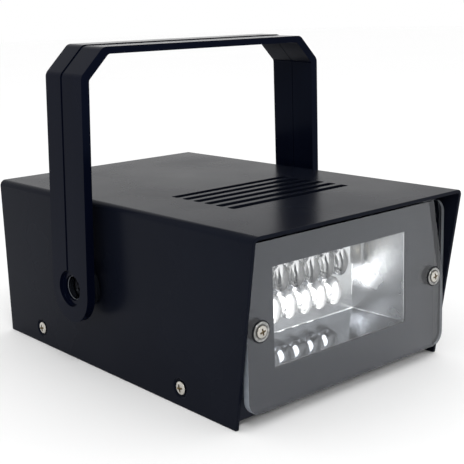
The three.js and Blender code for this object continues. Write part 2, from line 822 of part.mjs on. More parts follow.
for (const [sideName, side] of Object.entries(SIDES)) {
  const outward = [0, side * QUARTER, 0];
  const inward = [0, -side * QUARTER, 0];
  place(`friction_spacer_${sideName}`, spacer, 'spacer', [0, pivotY, pivotHeight], outward);
  const headAt = [side * pivotHeadX, pivotY, pivotHeight];
  place(`pivot_screw_${sideName}`, pivotScrew, 'steel', headAt, outward);
  place(`pivot_nut_${sideName}`, pivotNut, 'steel', [side * pivotNutX, pivotY, pivotHeight], inward);
}

// Rate control: a potentiometer behind the rear panel, its nut, shaft and knob
const control = new THREE.Group();
control.position.set(controlFromCentre, 0, controlHeight);
strobe.add(control);
const potFaceY = rearInnerY - seat;
const potBushEndY = rearOuterY + potBushStandout;
const shaftBore = shaftRadius + shankGap;
const knobBoreEndY = knobEndY - knobRoof;
const pot = turnedY([
  [0, potFaceY - potBodyLength],
  [potBodyRadius, potFaceY - potBodyLength],
  [potBodyRadius, potFaceY],
  [potBushRadius, potFaceY],
  [potBushRadius, potBushEndY],
  [shaftBore, potBushEndY],
  [shaftBore, potFaceY - potBoreDepth],
  [0, potFaceY - potBoreDepth],
], 0, 0);
const shaft = turnedY(rod(shaftRadius, potFaceY - potBoreDepth + seat, knobBoreEndY - seat), 0, 0);
const knob = turnedY([
  [0, knobBoreEndY],
  [shaftBore, knobBoreEndY],
  [shaftBore, knobFootY],
  [knobRadius, knobFootY],
  ...quarterArc(knobCapRadius - knobEdge, knobEndY - knobEdge, knobEdge, 0),
  [0, knobEndY],
], 0, 0).add(block(
  span(0, pointerWidth),
  [knobEndY - knobEdge, knobEndY + pointerRaise],
  [0, knobCapRadius - knobEdge],
));
const potNut = hexPrism(potNutAcross, potNutThickness, potBushRadius + shankGap);
place('speed_pot_body', pot, 'steel', [0, 0, 0], [0, 0, 0], control);
place('speed_shaft', shaft, 'steel', [0, 0, 0], [0, 0, 0], control);
place('speed_knob', knob, 'black', [0, 0, 0], [0, 0, 0], control);
place('pot_nut', potNut, 'nickel', [0, rearOuterY + seat, 0], TO_REAR, control);

// Cord gland and its nut
const glandFlangeY = rearOuterY + seat;
const glandMouthY = glandFlangeY + glandFlangeThickness;
const gland = turnedY([
  [glandBoreRadius, rearInnerY - glandTail],
  [glandBodyRadius, rearInnerY - glandTail],
  [glandBodyRadius, glandFlangeY],
  [glandFlangeRadius, glandFlangeY],
  [glandFlangeRadius, glandMouthY],
  [glandMouthRadius, glandMouthY + glandMouthLength],
  [glandBoreRadius, glandMouthY + glandMouthLength],
  [glandBoreRadius, rearInnerY - glandTail],
], 0, 0);
const glandNut = hexPrism(glandNutAcross, glandNutThickness, glandBodyRadius + shankGap);
place('cord_gland', gland, 'black', [-glandFromCentre, 0, glandHeight]);
place('gland_nut', glandNut, 'black', [-glandFromCentre, rearInnerY - seat, glandHeight], TO_FRONT);

// Driver board on four posts
const boardShape = rectangle(boardWidth, boardDepth, 0, 0, boardCentreY);
const post = hexPrism(postAcross, postHeight, lensScrewRadius);
const postX = boardWidth / 2 - postInset;
const postY = boardDepth / 2 - postInset;
for (const [sideName, side] of Object.entries(SIDES)) {
  for (const [endName, end] of Object.entries({ front: -1, rear: 1 })) {
    const y = boardCentreY + end * postY;
    boardShape.holes.push(circle(side * postX, y, lensScrewRadius));
    const at = [side * postX, y, trayFloorTop + seat];
    place(`board_post_${sideName}_${endName}`, post, 'steel', at);
  }
}
place('driver_board', alongZ(boardShape, boardZ, boardTop, smallSteps / 2), 'board');

function onBoard(xShare, yShare) {
  return [boardWidth * xShare, boardCentreY + boardDepth * yShare, boardTop + seat];
}

// Transformer: a core with two windows, and the winding round its middle leg
let core = block(span(0, coreWidth), span(0, coreStack), [0, coreHeight]);
for (const side of Object.values(SIDES)) {
  core = core.subtract(block(
    span(side * (coreLegWidth + coreWindowWidth) / 2, coreWindowWidth),
    span(0, coreStack + 2 * overrun),
    [coreYoke, coreHeight - coreYoke],
  ));
}
const windingX = coreLegWidth + 2 * coreWindowWidth - 2 * seat;
const windingY = coreStack + 2 * seat + 2 * windingBulge;
const windingShape = rectangle(windingX, windingY, windingCorner);
windingShape.holes.push(rectangle(coreLegWidth + 2 * seat, coreStack + 2 * seat));
const winding = alongZ(windingShape, coreYoke + seat, coreHeight - coreYoke - seat);
const transformerAt = onBoard(transformerXShare, transformerYShare);
place('transformer_core', core, 'core', transformerAt);
place('transformer_winding', winding, 'copper', transformerAt);

const capacitor = turned([
  [0, 0],
  [capacitorRadius, 0],
  ...quarterArc(capacitorRadius - capacitorEdge, capacitorHeight - capacitorEdge, capacitorEdge, 0),
  [0, capacitorHeight],
]);
place('main_capacitor', capacitor, 'sleeve', onBoard(capacitorXShare, capacitorYShare));

let chip = block(span(0, chipLength), span(0, chipWidth), [chipLift, chipLift + chipHeight]);
for (let i = 0; i < chipLegs; i += 1) {
  const x = (i - (chipLegs - 1) / 2) * chipLegPitch;
  chip = chip.add(block(
    span(x, chipLegWidth),
    span(0, chipWidth + 2 * chipLegReach),
    [chipLift + chipHeight / 2 - chipLegWidth / 2, chipLift + chipHeight / 2 + chipLegWidth / 2],
  ));
  for (const side of Object.values(SIDES)) {
    const face = side * (chipWidth / 2 + chipLegReach);
    chip = chip.add(block(
      span(x, chipLegWidth),
      [face, face - side * chipLegWidth],
      [0, chipLift + chipHeight / 2 + chipLegWidth / 2],
    ));
  }
}
place('timer_chip', chip, 'black', onBoard(chipXShare, chipYShare));

let transistor = block(
  span(0, transistorWidth),
  [0, transistorThickness],
  [transistorLift, transistorLift + transistorHeight],
).add(block(
  span(0, transistorWidth),
  [transistorThickness - transistorTab, transistorThickness],
  [transistorLift, transistorLift + transistorTabHeight],
));
for (let i = 0; i < transistorLegs; i += 1) {
  transistor = transistor.add(block(
    span((i - (transistorLegs - 1) / 2) * transistorLegPitch, transistorLegWidth),
    span(transistorThickness / 2, transistorLegWidth),
    [0, transistorLift + transistorLegWidth],
  ));
}
place('switching_transistor', transistor, 'black', onBoard(transistorXShare, transistorYShare));

let rectifier = turned(rod(rectifierRadius, rectifierLift, rectifierLift + rectifierHeight));
for (let i = 0; i < rectifierLegs; i += 1) {
  const angle = 2 * Math.PI * i / rectifierLegs;
  rectifier = rectifier.add(block(
    span(rectifierLegCircle * Math.cos(angle), rectifierLegWidth),
    span(rectifierLegCircle * Math.sin(angle), rectifierLegWidth),
    [0, rectifierLift + rectifierLegWidth],
  ));
}
place('rectifier', rectifier, 'black', onBoard(rectifierXShare, rectifierYShare));

const terminalWidth = terminalPoles * terminalPitch;
let terminal = block(span(0, terminalWidth), span(0, terminalDepth), [0, terminalHeight]);
for (let i = 0; i < terminalPoles; i += 1) {
  const x = (i - (terminalPoles - 1) / 2) * terminalPitch;
  const screwCut = rod(terminalScrewRadius, terminalHeight - terminalScrewDepth, terminalHeight + overrun);
  terminal = terminal
    .subtract(block(
      span(x, terminalMouth),
      [terminalDepth / 2 - terminalMouthDepth, terminalDepth / 2 + overrun],
      [terminalMouth / 2, terminalMouth * 3 / 2],
    ))
    .subtract(solid(lathe(screwCut, smallSteps).translate(x, 0, 0)));
}
place('terminal_block', terminal, 'terminal', onBoard(terminalXShare, terminalYShare));

export default strobe;
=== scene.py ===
# %% [markdown]
# # A strobe light
#
# The object is a small box of folded black sheet steel that hangs in a moulded bracket. A window in
# its front panel shows a mirrored box with eleven clear LEDs, behind a clear plate on two screws. The
# solids are loaded here as a fixed frame, and each cell makes one piece or one finish on top of it.
#
# The frame is in metres, with +Z up and the lamp shining towards -Y.

import math

import bmesh
import bpy
from mathutils import Matrix, Vector


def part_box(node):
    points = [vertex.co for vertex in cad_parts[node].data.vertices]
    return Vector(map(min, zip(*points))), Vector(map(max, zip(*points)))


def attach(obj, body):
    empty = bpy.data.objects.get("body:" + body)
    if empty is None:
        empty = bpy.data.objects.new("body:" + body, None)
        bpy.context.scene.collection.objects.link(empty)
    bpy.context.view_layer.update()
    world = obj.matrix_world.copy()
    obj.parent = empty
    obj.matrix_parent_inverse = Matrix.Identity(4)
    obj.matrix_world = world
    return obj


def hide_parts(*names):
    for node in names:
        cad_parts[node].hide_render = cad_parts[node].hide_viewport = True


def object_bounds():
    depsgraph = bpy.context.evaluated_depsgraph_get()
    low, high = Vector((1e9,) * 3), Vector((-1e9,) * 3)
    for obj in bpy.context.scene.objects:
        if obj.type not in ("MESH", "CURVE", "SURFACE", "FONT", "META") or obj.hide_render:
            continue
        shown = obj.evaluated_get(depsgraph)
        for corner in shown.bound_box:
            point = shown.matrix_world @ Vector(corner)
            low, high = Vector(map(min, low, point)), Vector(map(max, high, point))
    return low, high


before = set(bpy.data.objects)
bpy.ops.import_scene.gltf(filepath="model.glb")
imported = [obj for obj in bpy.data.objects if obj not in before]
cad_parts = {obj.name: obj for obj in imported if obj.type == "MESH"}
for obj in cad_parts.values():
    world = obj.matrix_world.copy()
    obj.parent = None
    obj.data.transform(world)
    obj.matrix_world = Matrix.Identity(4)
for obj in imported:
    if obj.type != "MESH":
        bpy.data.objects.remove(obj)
cad_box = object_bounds()
print("solids:", len(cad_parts), "box:", [tuple(round(v, 4) for v in c) for c in cad_box])

# %% [markdown]
# ## The camera
#
# The photograph is taken from the front left and a little above, and the camera leans about two
# degrees. A camera matrix has its right, up and backward directions as columns, so yaw, pitch and
# roll are worked out as directions and put together.

# %% Place the camera
def placed(name, data):
    """A new object in the scene that shows this data."""
    thing = bpy.data.objects.new(name, data)
    bpy.context.collection.objects.link(thing)
    return thing


SENSOR_MM, LENS_MM = 36, 74.07
CAMERA_SPOT = (-0.285705, -0.352994, 0.158824)
YAW, PITCH, ROLL = (math.radians(a) for a in (40.567, 12.942, -1.859))
ahead = Vector((math.sin(YAW) * math.cos(PITCH), math.cos(YAW) * math.cos(PITCH), -math.sin(PITCH)))
level_right = Vector((math.cos(YAW), -math.sin(YAW), 0))
level_up = level_right.cross(ahead)
right = level_right * math.cos(ROLL) + level_up * math.sin(ROLL)
up = level_up * math.cos(ROLL) - level_right * math.sin(ROLL)
camera = placed("camera", bpy.data.cameras.new("camera"))
camera.data.sensor_width = SENSOR_MM
camera.data.lens = LENS_MM
camera.data.clip_start = 0.01
aimed = Matrix((right, up, -ahead)).transposed().to_4x4()
camera.matrix_world = Matrix.Translation(CAMERA_SPOT) @ aimed
bpy.context.scene.camera = camera
bpy.context.scene.view_settings.view_transform = "Standard"
print("camera at", CAMERA_SPOT)

# %% [markdown]
# ## Laying out a finish
#
# A finish is a small chain of nodes: a pattern that reads where a point lies on the piece, then a
# ramp for its colour, a range for its roughness, and a bump for its grain. Each helper lays out one
# link, and the last three start from soft clouds.

# %% Lay out a finish link by link
BANDS_PER_SCALE = 3.18


class Finish:
    """One material, with the point on the piece as its starting value."""

    def __init__(self, name, **sockets):
        self.material = bpy.data.materials.new(name)
        self.material.use_nodes = True
        self.tree = self.material.node_tree
        self.where = self.node("TexCoord").outputs["Object"]
        self.shader = self.settled(self.tree.nodes["Principled BSDF"], sockets)

    def settled(self, node, sockets):
        """Gives sockets their fixed values; an underscore stands for the space in a socket's name."""
        for socket, value in sockets.items():
            node.inputs[socket.replace("_", " ")].default_value = value
        return node

    def node(self, kind, **sockets):
        return self.settled(self.tree.nodes.new("ShaderNode" + kind), sockets)

    def link(self, out, into):
        self.tree.links.new(out, into)
        return self

    def pattern(self, kind, output, point=None, **sockets):
        """A pattern that reads where a point lies on the piece."""
        node = self.node(kind, **sockets)
        self.link(point or self.where, node.inputs["Vector"])
        return node.outputs[output]

    def stretched(self, x, y, z):
        """The point, with lengths along each axis made finer or coarser."""
        return self.pattern("Mapping", "Vector", Scale=(x, y, z))

    def cloudy(self, per_metre, detail=2.0, rough=0.5, point=None):
        return self.pattern("TexNoise", "Fac", point, Scale=per_metre, Detail=detail, Roughness=rough)

    def cells(self, per_metre, feature="F1"):
        distance = self.pattern("TexVoronoi", "Distance", Scale=per_metre)
        distance.node.feature = feature
        return distance

    def stripes(self, per_metre, axis, bend):
        bands = self.pattern("TexWave", "Fac", Scale=per_metre / BANDS_PER_SCALE, Distortion=bend)
        bands.node.bands_direction = axis
        return bands

    def colour(self, value, *stops):
        """Colours the piece: each stop is a share of the pattern and its (r, g, b)."""
        node = self.node("ValToRGB")
        ramp = node.color_ramp
        while len(ramp.elements) < len(stops):
            ramp.elements.new(0.5)
        for element, (share, rgb) in zip(ramp.elements, stops):
            element.position = share
            element.color = (*rgb, 1)
        self.link(value, node.inputs["Fac"])
        return self.link(node.outputs["Color"], self.shader.inputs["Base Color"])

    def gloss(self, value, low, high, start=0.0, end=1.0):
        """Spreads the pattern's part from start to end over this range of roughness."""
        node = self.node("MapRange", From_Min=start, From_Max=end, To_Min=low, To_Max=high)
        self.link(value, node.inputs["Value"])
        return self.link(node.outputs["Result"], self.shader.inputs["Roughness"])

    def relief(self, value, height, strength=1.0):
        """Raises the pattern by this many metres where its value is 1."""
        node = self.node("Bump", Strength=strength, Distance=height)
        self.link(value, node.inputs["Height"])
        return self.link(node.outputs["Normal"], self.shader.inputs["Normal"])

    def patches(self, per_metre, detail, dark, light, start=0.3, end=0.7):
        return self.colour(self.cloudy(per_metre, detail), (start, dark), (end, light))

    def sheen(self, per_metre, detail, low, high, start=0.0, end=1.0):
        return self.gloss(self.cloudy(per_metre, detail), low, high, start, end)

    def grained(self, per_metre, detail, height, strength):
        return self.relief(self.cloudy(per_metre, detail), height, strength)


print("links:", [name for name in vars(Finish) if not name.startswith("_")])

# %% [markdown]
# ## Black paint on sheet steel
#
# The cover and the tray are stoved in a satin black. Such paint has a very fine orange peel, and a
# slow change of gloss over a hand's width. It mirrors a white room strongly at a flat angle, which
# makes the top look grey, and hardly at all where it is seen square on. A low specular level gives
# that. The panel's paint is flatter.

# %% Mix the black paints
paint = Finish("satin_black_paint", Specular_IOR_Level=0.032, Specular_Tint=(0.7, 0.8, 1.0, 1))
peel = paint.cloudy(950, 3)
drift = paint.cloudy(22, 3)
paint.colour(drift, (0.35, (0.0038, 0.0048, 0.0092)), (0.7, (0.005, 0.0062, 0.0112)))
paint.gloss(drift, 0.23, 0.3, 0.3, 0.7).relief(peel, 0.000012, 0.4)

panel_paint = Finish("panel_black_paint", Specular_IOR_Level=0.12, Specular_Tint=(0.8, 0.88, 1.0, 1))
speckle = panel_paint.cloudy(1300, 2)
panel_paint.patches(30, 3, (0.0075, 0.009, 0.015), (0.011, 0.013, 0.02), 0.35, 0.7)
panel_paint.gloss(speckle, 0.42, 0.5, 0.3, 0.7).relief(speckle, 0.000008, 0.3)
print("paints:", paint.material.name, panel_paint.material.name)

# %% [markdown]
# ## Moulded black plastics
#
# The bracket is moulded nylon: darker and glossier than the paint, with a fine spark-eroded grain
# and faint long flow marks. The spacers are polished, and the knob and the cord's gland are plain.

# %% Mix the black plastics
nylon = Finish("moulded_nylon", Specular_IOR_Level=0.034, Specular_Tint=(0.5, 0.66, 1.0, 1))
grain = nylon.cloudy(1700, 2)
flow = nylon.cloudy(60, 3, 0.6, nylon.stretched(1, 1, 0.25))
nylon.colour(flow, (0.3, (0.0012, 0.002, 0.0066)), (0.7, (0.002, 0.003, 0.0088)))
nylon.gloss(flow, 0.13, 0.2, 0.3, 0.7).relief(grain, 0.000006, 0.3)

polished = Finish("polished_black_plastic", Specular_IOR_Level=1.0, IOR=1.7,
                  Specular_Tint=(0.84, 0.9, 1.0, 1))
polished.patches(90, 2, (0.0025, 0.003, 0.0045), (0.004, 0.0045, 0.006)).sheen(400, 2, 0.08, 0.14, 0.3, 0.7)

plain_black = Finish("plain_black_plastic", Specular_IOR_Level=0.3)
plain_black.patches(120, 3, (0.011, 0.011, 0.012), (0.018, 0.018, 0.02)).sheen(300, 2, 0.38, 0.55, 0.3, 0.7)
plain_black.grained(1500, 2, 0.00002, 0.6)

pointer_white = Finish("pointer_paint", Specular_IOR_Level=0.3)
pointer_white.patches(900, 3, (0.74, 0.74, 0.72), (0.82, 0.82, 0.8), 0.3, 0.6)
pointer_white.sheen(500, 2, 0.35, 0.5)
print("plastics mixed")

# %% [markdown]
# ## Metals
#
# The screws are nickel plated, and the crosses in their heads are a dark yellowish brown: a yellow
# tint, darkened as painted shade in the recess.
# The cup washers are duller, with painted shade in the hollow under the head and a plain black ring
# round the edge. The steel inside is zinc plated. The transformer's core is a stack of thin sheets,
# which shows as stripes.

# %% Mix the metals
nickel = Finish("nickel_plate", Metallic=1.0).patches(260, 3, (0.46, 0.44, 0.4), (0.6, 0.58, 0.53))
nickel.sheen(1400, 3, 0.2, 0.36, 0.3, 0.7).grained(2200, 2, 0.000008, 0.6)

worn_nickel = Finish("worn_nickel", Metallic=1.0).patches(700, 4, (0.16, 0.16, 0.155), (0.42, 0.42, 0.41))
worn_nickel.sheen(1400, 3, 0.1, 0.2, 0.3, 0.7)

# Painted shade in the screws' cross recesses: a dark yellowish brown.
cross_recess_shade = Finish("yellowish_recess_shade", Metallic=1.0)
cross_recess_shade.patches(900, 3, (0.13, 0.095, 0.048), (0.28, 0.22, 0.125)).sheen(1200, 2, 0.35, 0.5)

# Plain black metal: the pivot screws, and the ring round each cup washer's edge.
black_metal = Finish("black_steel_finish", Metallic=1.0)
black_metal.patches(700, 3, (0.012, 0.013, 0.016), (0.03, 0.032, 0.037))
black_metal.sheen(1200, 2, 0.3, 0.45).grained(2200, 2, 0.000008, 0.6)

# Painted shade in each cup washer's hollow under the screw head.
washer_hollow_shade = Finish("nickel_with_painted_hollow_shade", Metallic=1.0).patches(900, 3, (0.1, 0.1, 0.096), (0.18, 0.18, 0.17))
washer_hollow_shade.sheen(1200, 2, 0.35, 0.5)

zinc = Finish("zinc_plated_steel", Metallic=1.0)
zinc.colour(zinc.cells(420), (0.1, (0.36, 0.37, 0.38)), (0.7, (0.5, 0.5, 0.5)))
zinc.sheen(800, 3, 0.3, 0.45, 0.3, 0.7).grained(1500, 2, 0.00001, 0.6)

laminated = Finish("laminated_core", Metallic=0.8)
sheets = laminated.stripes(1900, "Y", 0.4)
laminated.colour(sheets, (0.2, (0.05, 0.05, 0.052)), (0.6, (0.17, 0.17, 0.175)))
laminated.gloss(sheets, 0.6, 0.42).relief(sheets, 0.00004, 0.8)
print("metals mixed")

# %% [markdown]
# ## Parts of the circuit
#
# Solder mask is green over copper, and the tracks under it show as slightly lighter bands. The LEDs'
# own board is masked in white. The winding is enamelled wire under clear tape, the capacitor has a
# shrunk sleeve, and the terminal block and the chips are moulded.

# %% Mix the finishes of the circuit
mask = Finish("green_solder_mask", Specular_IOR_Level=0.4)
tracks = mask.cells(230, "DISTANCE_TO_EDGE")
mask.colour(tracks, (0.05, (0.035, 0.12, 0.05)), (0.16, (0.02, 0.07, 0.03)), (0.75, (0.025, 0.085, 0.036)))
mask.sheen(300, 2, 0.28, 0.42).relief(tracks, 0.00004, 0.4)

white_mask = Finish("white_solder_mask", Specular_IOR_Level=0.4)
white_tracks = white_mask.cells(230, "DISTANCE_TO_EDGE")
white_mask.colour(white_tracks, (0.05, (0.78, 0.78, 0.77)), (0.16, (0.72, 0.72, 0.71)))
white_mask.sheen(300, 2, 0.3, 0.42).relief(white_tracks, 0.00004, 0.4)

wire = Finish("taped_winding", Specular_IOR_Level=0.4)
turns = wire.stripes(1500, "Z", 0.3)
wire.colour(turns, (0.15, (0.15, 0.045, 0.012)), (0.6, (0.42, 0.16, 0.05)))
wire.gloss(turns, 0.5, 0.3).relief(turns, 0.0001, 0.8)

sleeve = Finish("capacitor_sleeve", Specular_IOR_Level=0.4)
sleeve.patches(90, 2, (0.02, 0.045, 0.14), (0.03, 0.06, 0.18))
sleeve.sheen(260, 2, 0.28, 0.4).grained(500, 2, 0.00003, 0.5)

block_green = Finish("terminal_green", Specular_IOR_Level=0.35)
block_green.patches(200, 2, (0.025, 0.17, 0.07), (0.035, 0.22, 0.09)).sheen(500, 2, 0.35, 0.5)

chip_black = Finish("chip_moulding", Specular_IOR_Level=0.3)
chip_black.patches(700, 3, (0.012, 0.012, 0.013), (0.022, 0.022, 0.024))
chip_black.sheen(900, 2, 0.45, 0.6).grained(1800, 2, 0.00002, 0.7)
print("circuit finishes mixed")

# %% [markdown]
# ## Clear and mirrored pieces
#
# The plate is clear acrylic. Both its faces mirror the white room, which is why the black panel
# behind it looks grey. The reflector is polished sheet with a slight waviness. Inside it, the side
# walls scatter the LEDs' light to a soft glow, the floor and the ceiling mirror with a much darker
# colour that is painted shade, and the back wall is frosted. The LEDs are cast in clear epoxy,
# slightly milky where they are lit, and a chip under yellow phosphor sits in each foot; the chips of
# the unlit row are given a faint painted glow.

# %% Mix the clear and mirrored finishes
acrylic = Finish("clear_acrylic", Transmission_Weight=1.0, IOR=1.49, Specular_Tint=(0.9, 0.93, 1.0, 1))
wiped = acrylic.cloudy(45, 4, 0.6, acrylic.stretched(1, 1, 0.4))
acrylic.colour(wiped, (0.3, (0.965, 0.98, 0.985)), (0.7, (0.985, 0.992, 0.995)))
acrylic.gloss(wiped, 0.0, 0.03, 0.52, 0.75)

sawn = Finish("sawn_acrylic_edge", Transmission_Weight=0.55, IOR=1.49)
sawn.patches(500, 3, (0.3, 0.34, 0.4), (0.4, 0.44, 0.5)).sheen(900, 3, 0.35, 0.5, 0.3, 0.7)

mirror = Finish("polished_reflector", Metallic=1.0)
mirror.colour(mirror.cloudy(300, 4, 0.7), (0.35, (0.9, 0.91, 0.92)), (0.6, (0.96, 0.965, 0.97)))
mirror.sheen(90, 2, 0.03, 0.07, 0.4, 0.75).grained(55, 2, 0.0002, 0.35)

dull_mirror = Finish("dull_reflector_side", Metallic=1.0)
dull_mirror.patches(70, 2, (0.7, 0.71, 0.72), (0.76, 0.77, 0.78), 0.35, 0.65)
dull_mirror.sheen(90, 2, 0.25, 0.28, 0.35, 0.7)

frosted = Finish("frosted_reflector_back", Metallic=0.85)
frosted.patches(90, 3, (0.93, 0.935, 0.94), (0.97, 0.97, 0.975), 0.35, 0.65)
frosted.sheen(120, 2, 0.2, 0.27, 0.35, 0.7)

# Painted shade: the reflector's floor and ceiling are given a much darker metal colour.
painted_shade_mirror = Finish("reflector_floor_painted_shade", Metallic=1.0)
painted_shade_mirror.patches(90, 3, (0.19, 0.2, 0.22), (0.26, 0.275, 0.3), 0.35, 0.6)
painted_shade_mirror.sheen(90, 2, 0.02, 0.06, 0.4, 0.75).grained(55, 2, 0.0002, 0.35)

epoxy = Finish("clear_epoxy", Transmission_Weight=1.0, IOR=1.53)
lit_epoxy = Finish("lit_epoxy", Transmission_Weight=1.0, IOR=1.53)
for resin in (epoxy, lit_epoxy):
    resin.patches(600, 3, (0.95, 0.95, 0.95), (0.985, 0.985, 0.985))
epoxy.sheen(700, 2, 0.0, 0.05, 0.45, 0.8)
lit_epoxy.sheen(700, 2, 0.12, 0.2, 0.4, 0.7)

silver = Finish("silvered_lead_frame", Metallic=1.0).patches(900, 2, (0.66, 0.66, 0.64), (0.8, 0.8, 0.78))
silver.sheen(1200, 2, 0.2, 0.34)

glow = Finish("lit_phosphor", Emission_Color=(0.96, 0.97, 1.0, 1), Emission_Strength=5.0)
glow.patches(2500, 2, (0.88, 0.84, 0.6), (0.95, 0.92, 0.72)).sheen(1500, 2, 0.5, 0.7)

# The unlit chips still glow faintly: a painted glow.
phosphor = Finish("phosphor", Emission_Color=(1.0, 0.97, 0.9, 1), Emission_Strength=1.5)
phosphor.patches(2500, 2, (0.86, 0.72, 0.22), (0.95, 0.84, 0.35)).sheen(1500, 2, 0.5, 0.7)
print("clear and mirrored finishes mixed")

# %% [markdown]
# ## Working in millimetres
#
# A sheet-metal worker measures from edges: here from the skirts' foot (z = 0), the cover's back edge
# (y = 0) and the middle of the width (x = 0). Every piece is shaped in those millimetres and moved
# into the frame at the end. Its object stays at the origin, so a pattern that reads Object
# coordinates sits still on it.

# %% Name the directions and the two sides
METRES_PER_MM = 0.001
BACK_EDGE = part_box("top_cover")[1].y
INTO_FRAME = Matrix.Translation((0, BACK_EDGE, 0)) @ Matrix.Scale(METRES_PER_MM, 4)
TO_RIGHT = Matrix(((0, 0, 1, 0), (1, 0, 0, 0), (0, 1, 0, 0), (0, 0, 0, 1)))
SIDES = {"left": -1, "right": 1}


def turned(degrees, axis):
    return Matrix.Rotation(math.radians(degrees), 4, axis)


def at(x, y, z, turn=Matrix.Identity(4)):
    return Matrix.Translation((x, y, z)) @ turn


def outward(side):
    """The turn that points a piece's own Z away from the lamp's middle, on this side."""
    return turned(90 * side, "Y")


TO_BACK, TO_FRONT = turned(-90, "X"), turned(90, "X")
print("cover's back edge at y =", round(BACK_EDGE, 5))

# %% [markdown]
# ## Pushing a section and cutting it
#
# A folded sheet, a plate and a moulded strap keep one section along a line. So the section is drawn
# as one face, with arcs for its round corners, and an extrusion pushes it along. Openings are cut by
# a boolean, as a punch would: each tool is closed and reaches past the piece, because a cut goes
# wrong where a tool ends in the very plane of a face.

# %% Push an outline along a line and cut it with tools
MERGE_MM = 0.0005


def solidity(bm):
    """Merges the doubles that an operator leaves and turns all faces outwards."""
    bmesh.ops.remove_doubles(bm, verts=bm.verts, dist=MERGE_MM)
    bmesh.ops.recalc_face_normals(bm, faces=bm.faces)
    return bm


def drawn(points, length, place=Matrix.Identity(4)):
    """A straight bar whose section has these (x, y) corners, standing along Z from 0."""
    bm = bmesh.new()
    face = bm.faces.new([bm.verts.new((x, y, 0)) for x, y in points])
    grown = bmesh.ops.extrude_face_region(bm, geom=[face])["geom"]
    top = [v for v in grown if isinstance(v, bmesh.types.BMVert)]
    bmesh.ops.translate(bm, verts=top, vec=(0, 0, length))
    solidity(bm)
    bm.transform(place)
    return bm


def rounded_corners(corners, steps=8):
    """Replaces each corner that has a third number, its radius, with an arc."""
    points = []
    for i, corner in enumerate(corners):
        here = Vector(corner[:2])
        if len(corner) < 3:
            points.append(tuple(here))
            continue
        before, after = ((Vector(corners[k % len(corners)][:2]) - here).normalized()
                         for k in (i - 1, i + 1))
        half = before.angle(after) / 2
        centre = here + (before + after).normalized() * (corner[2] / math.sin(half))
        start = here + before * (corner[2] / math.tan(half)) - centre
        turn = math.pi - 2 * half
        if before.x * after.y - before.y * after.x > 0:
            turn = -turn
        for k in range(steps + 1):
            spoke = start.copy()
            spoke.rotate(Matrix.Rotation(turn * k / steps, 2))
            points.append(tuple(centre + spoke))
    return points


def rounded_rectangle(x, y, radius, steps):
    """The outline between two x and two y values, with equal round corners."""
    corners = [(x[0], y[0]), (x[1], y[0]), (x[1], y[1]), (x[0], y[1])]
    return rounded_corners([(*corner, radius) for corner in corners], steps)


def carved(bm, *cutters, way="DIFFERENCE"):
    """Cuts the cutters out of a piece, or joins them on."""
    spare = []
    for shape in (bm, *cutters):
        spare.append(placed("spare", bpy.data.meshes.new("spare")))
        shape.to_mesh(spare[-1].data)
    base, *tools = spare
    for tool in tools:
        step = base.modifiers.new("cut", "BOOLEAN")
        step.operation, step.object, step.solver = way, tool, "EXACT"
    cut = base.evaluated_get(bpy.context.evaluated_depsgraph_get()).to_mesh()
    result = bmesh.new()
    result.from_mesh(cut)
    bmesh.ops.remove_doubles(result, verts=result.verts, dist=MERGE_MM)
    bmesh.ops.dissolve_limit(result, angle_limit=math.radians(0.5), verts=result.verts,
                             edges=result.edges)
    for thing in spare:
        bpy.data.objects.remove(thing)
    return result


print("points of a rounded square:", len(rounded_rectangle((0, 9), (0, 9), 2, 8)))

# %% [markdown]
# ## The cover
#
# The cover is one sheet, punched and then folded into an upside-down U. Its side edges lean back
# from the hood's lip to the foot. A press leaves every cut edge slightly rounded, and round corners
# in the slots. The U is drawn and pushed along the depth, and then its leaning outline and its slots
# are cut.

# %% Fold and punch the cover
HALF, TOP, DEEP, SHEET = 62.5, 79.5, 192.0, 1.6
FOLD_OUTSIDE, FOLD_INSIDE = 3, 1.4
FOOT_FRONT = -DEEP + 13.2
PAST = 2
SLOT_COUNT, SLOT_PITCH, FIRST_SLOT = 6, 7.62, -DEEP + 46.8
SLOT_X, SLOT_HALF, SLOT_CORNER = (-32.9, 37.1), 2.2, 0.9
PUNCH_FOOT, PUNCH_LENGTH = 74, 8
inner = HALF - SHEET
section = rounded_corners([
    (-HALF, 0), (-inner, 0), (-inner, TOP - SHEET, FOLD_INSIDE), (inner, TOP - SHEET, FOLD_INSIDE),
    (inner, 0), (HALF, 0), (HALF, TOP, FOLD_OUTSIDE), (-HALF, TOP, FOLD_OUTSIDE)])
leaning = drawn([(-DEEP, TOP + PAST), (-DEEP, TOP), (FOOT_FRONT, 0), (FOOT_FRONT, -PAST),
                 (PAST, -PAST), (PAST, TOP + PAST)], 4 * HALF, at(-2 * HALF, 0, 0, TO_RIGHT))
cover = carved(drawn(section, DEEP, TO_FRONT), leaning, way="INTERSECT")
slots = []
for number in range(SLOT_COUNT):
    middle = FIRST_SLOT + SLOT_PITCH * number
    slot = rounded_rectangle(SLOT_X, (middle - SLOT_HALF, middle + SLOT_HALF), SLOT_CORNER, 4)
    slots.append(drawn(slot, PUNCH_LENGTH, at(0, 0, PUNCH_FOOT)))
cover = carved(cover, *slots)
print("slots:", len(slots))

# %% [markdown]
# ## Round shapes, soft edges and handing over
#
# Dimples, screws, washers and knobs are spun from a profile of radius and height, like work on a
# lathe. No real edge is perfectly sharp: a small bevel makes each catch a thin line of light. A
# finished piece is moved into the frame, rides with its body, and stands for its plain solid.

# %% Spin a profile, round off edges and finish a piece
CLEAR_FOLD = math.radians(50)


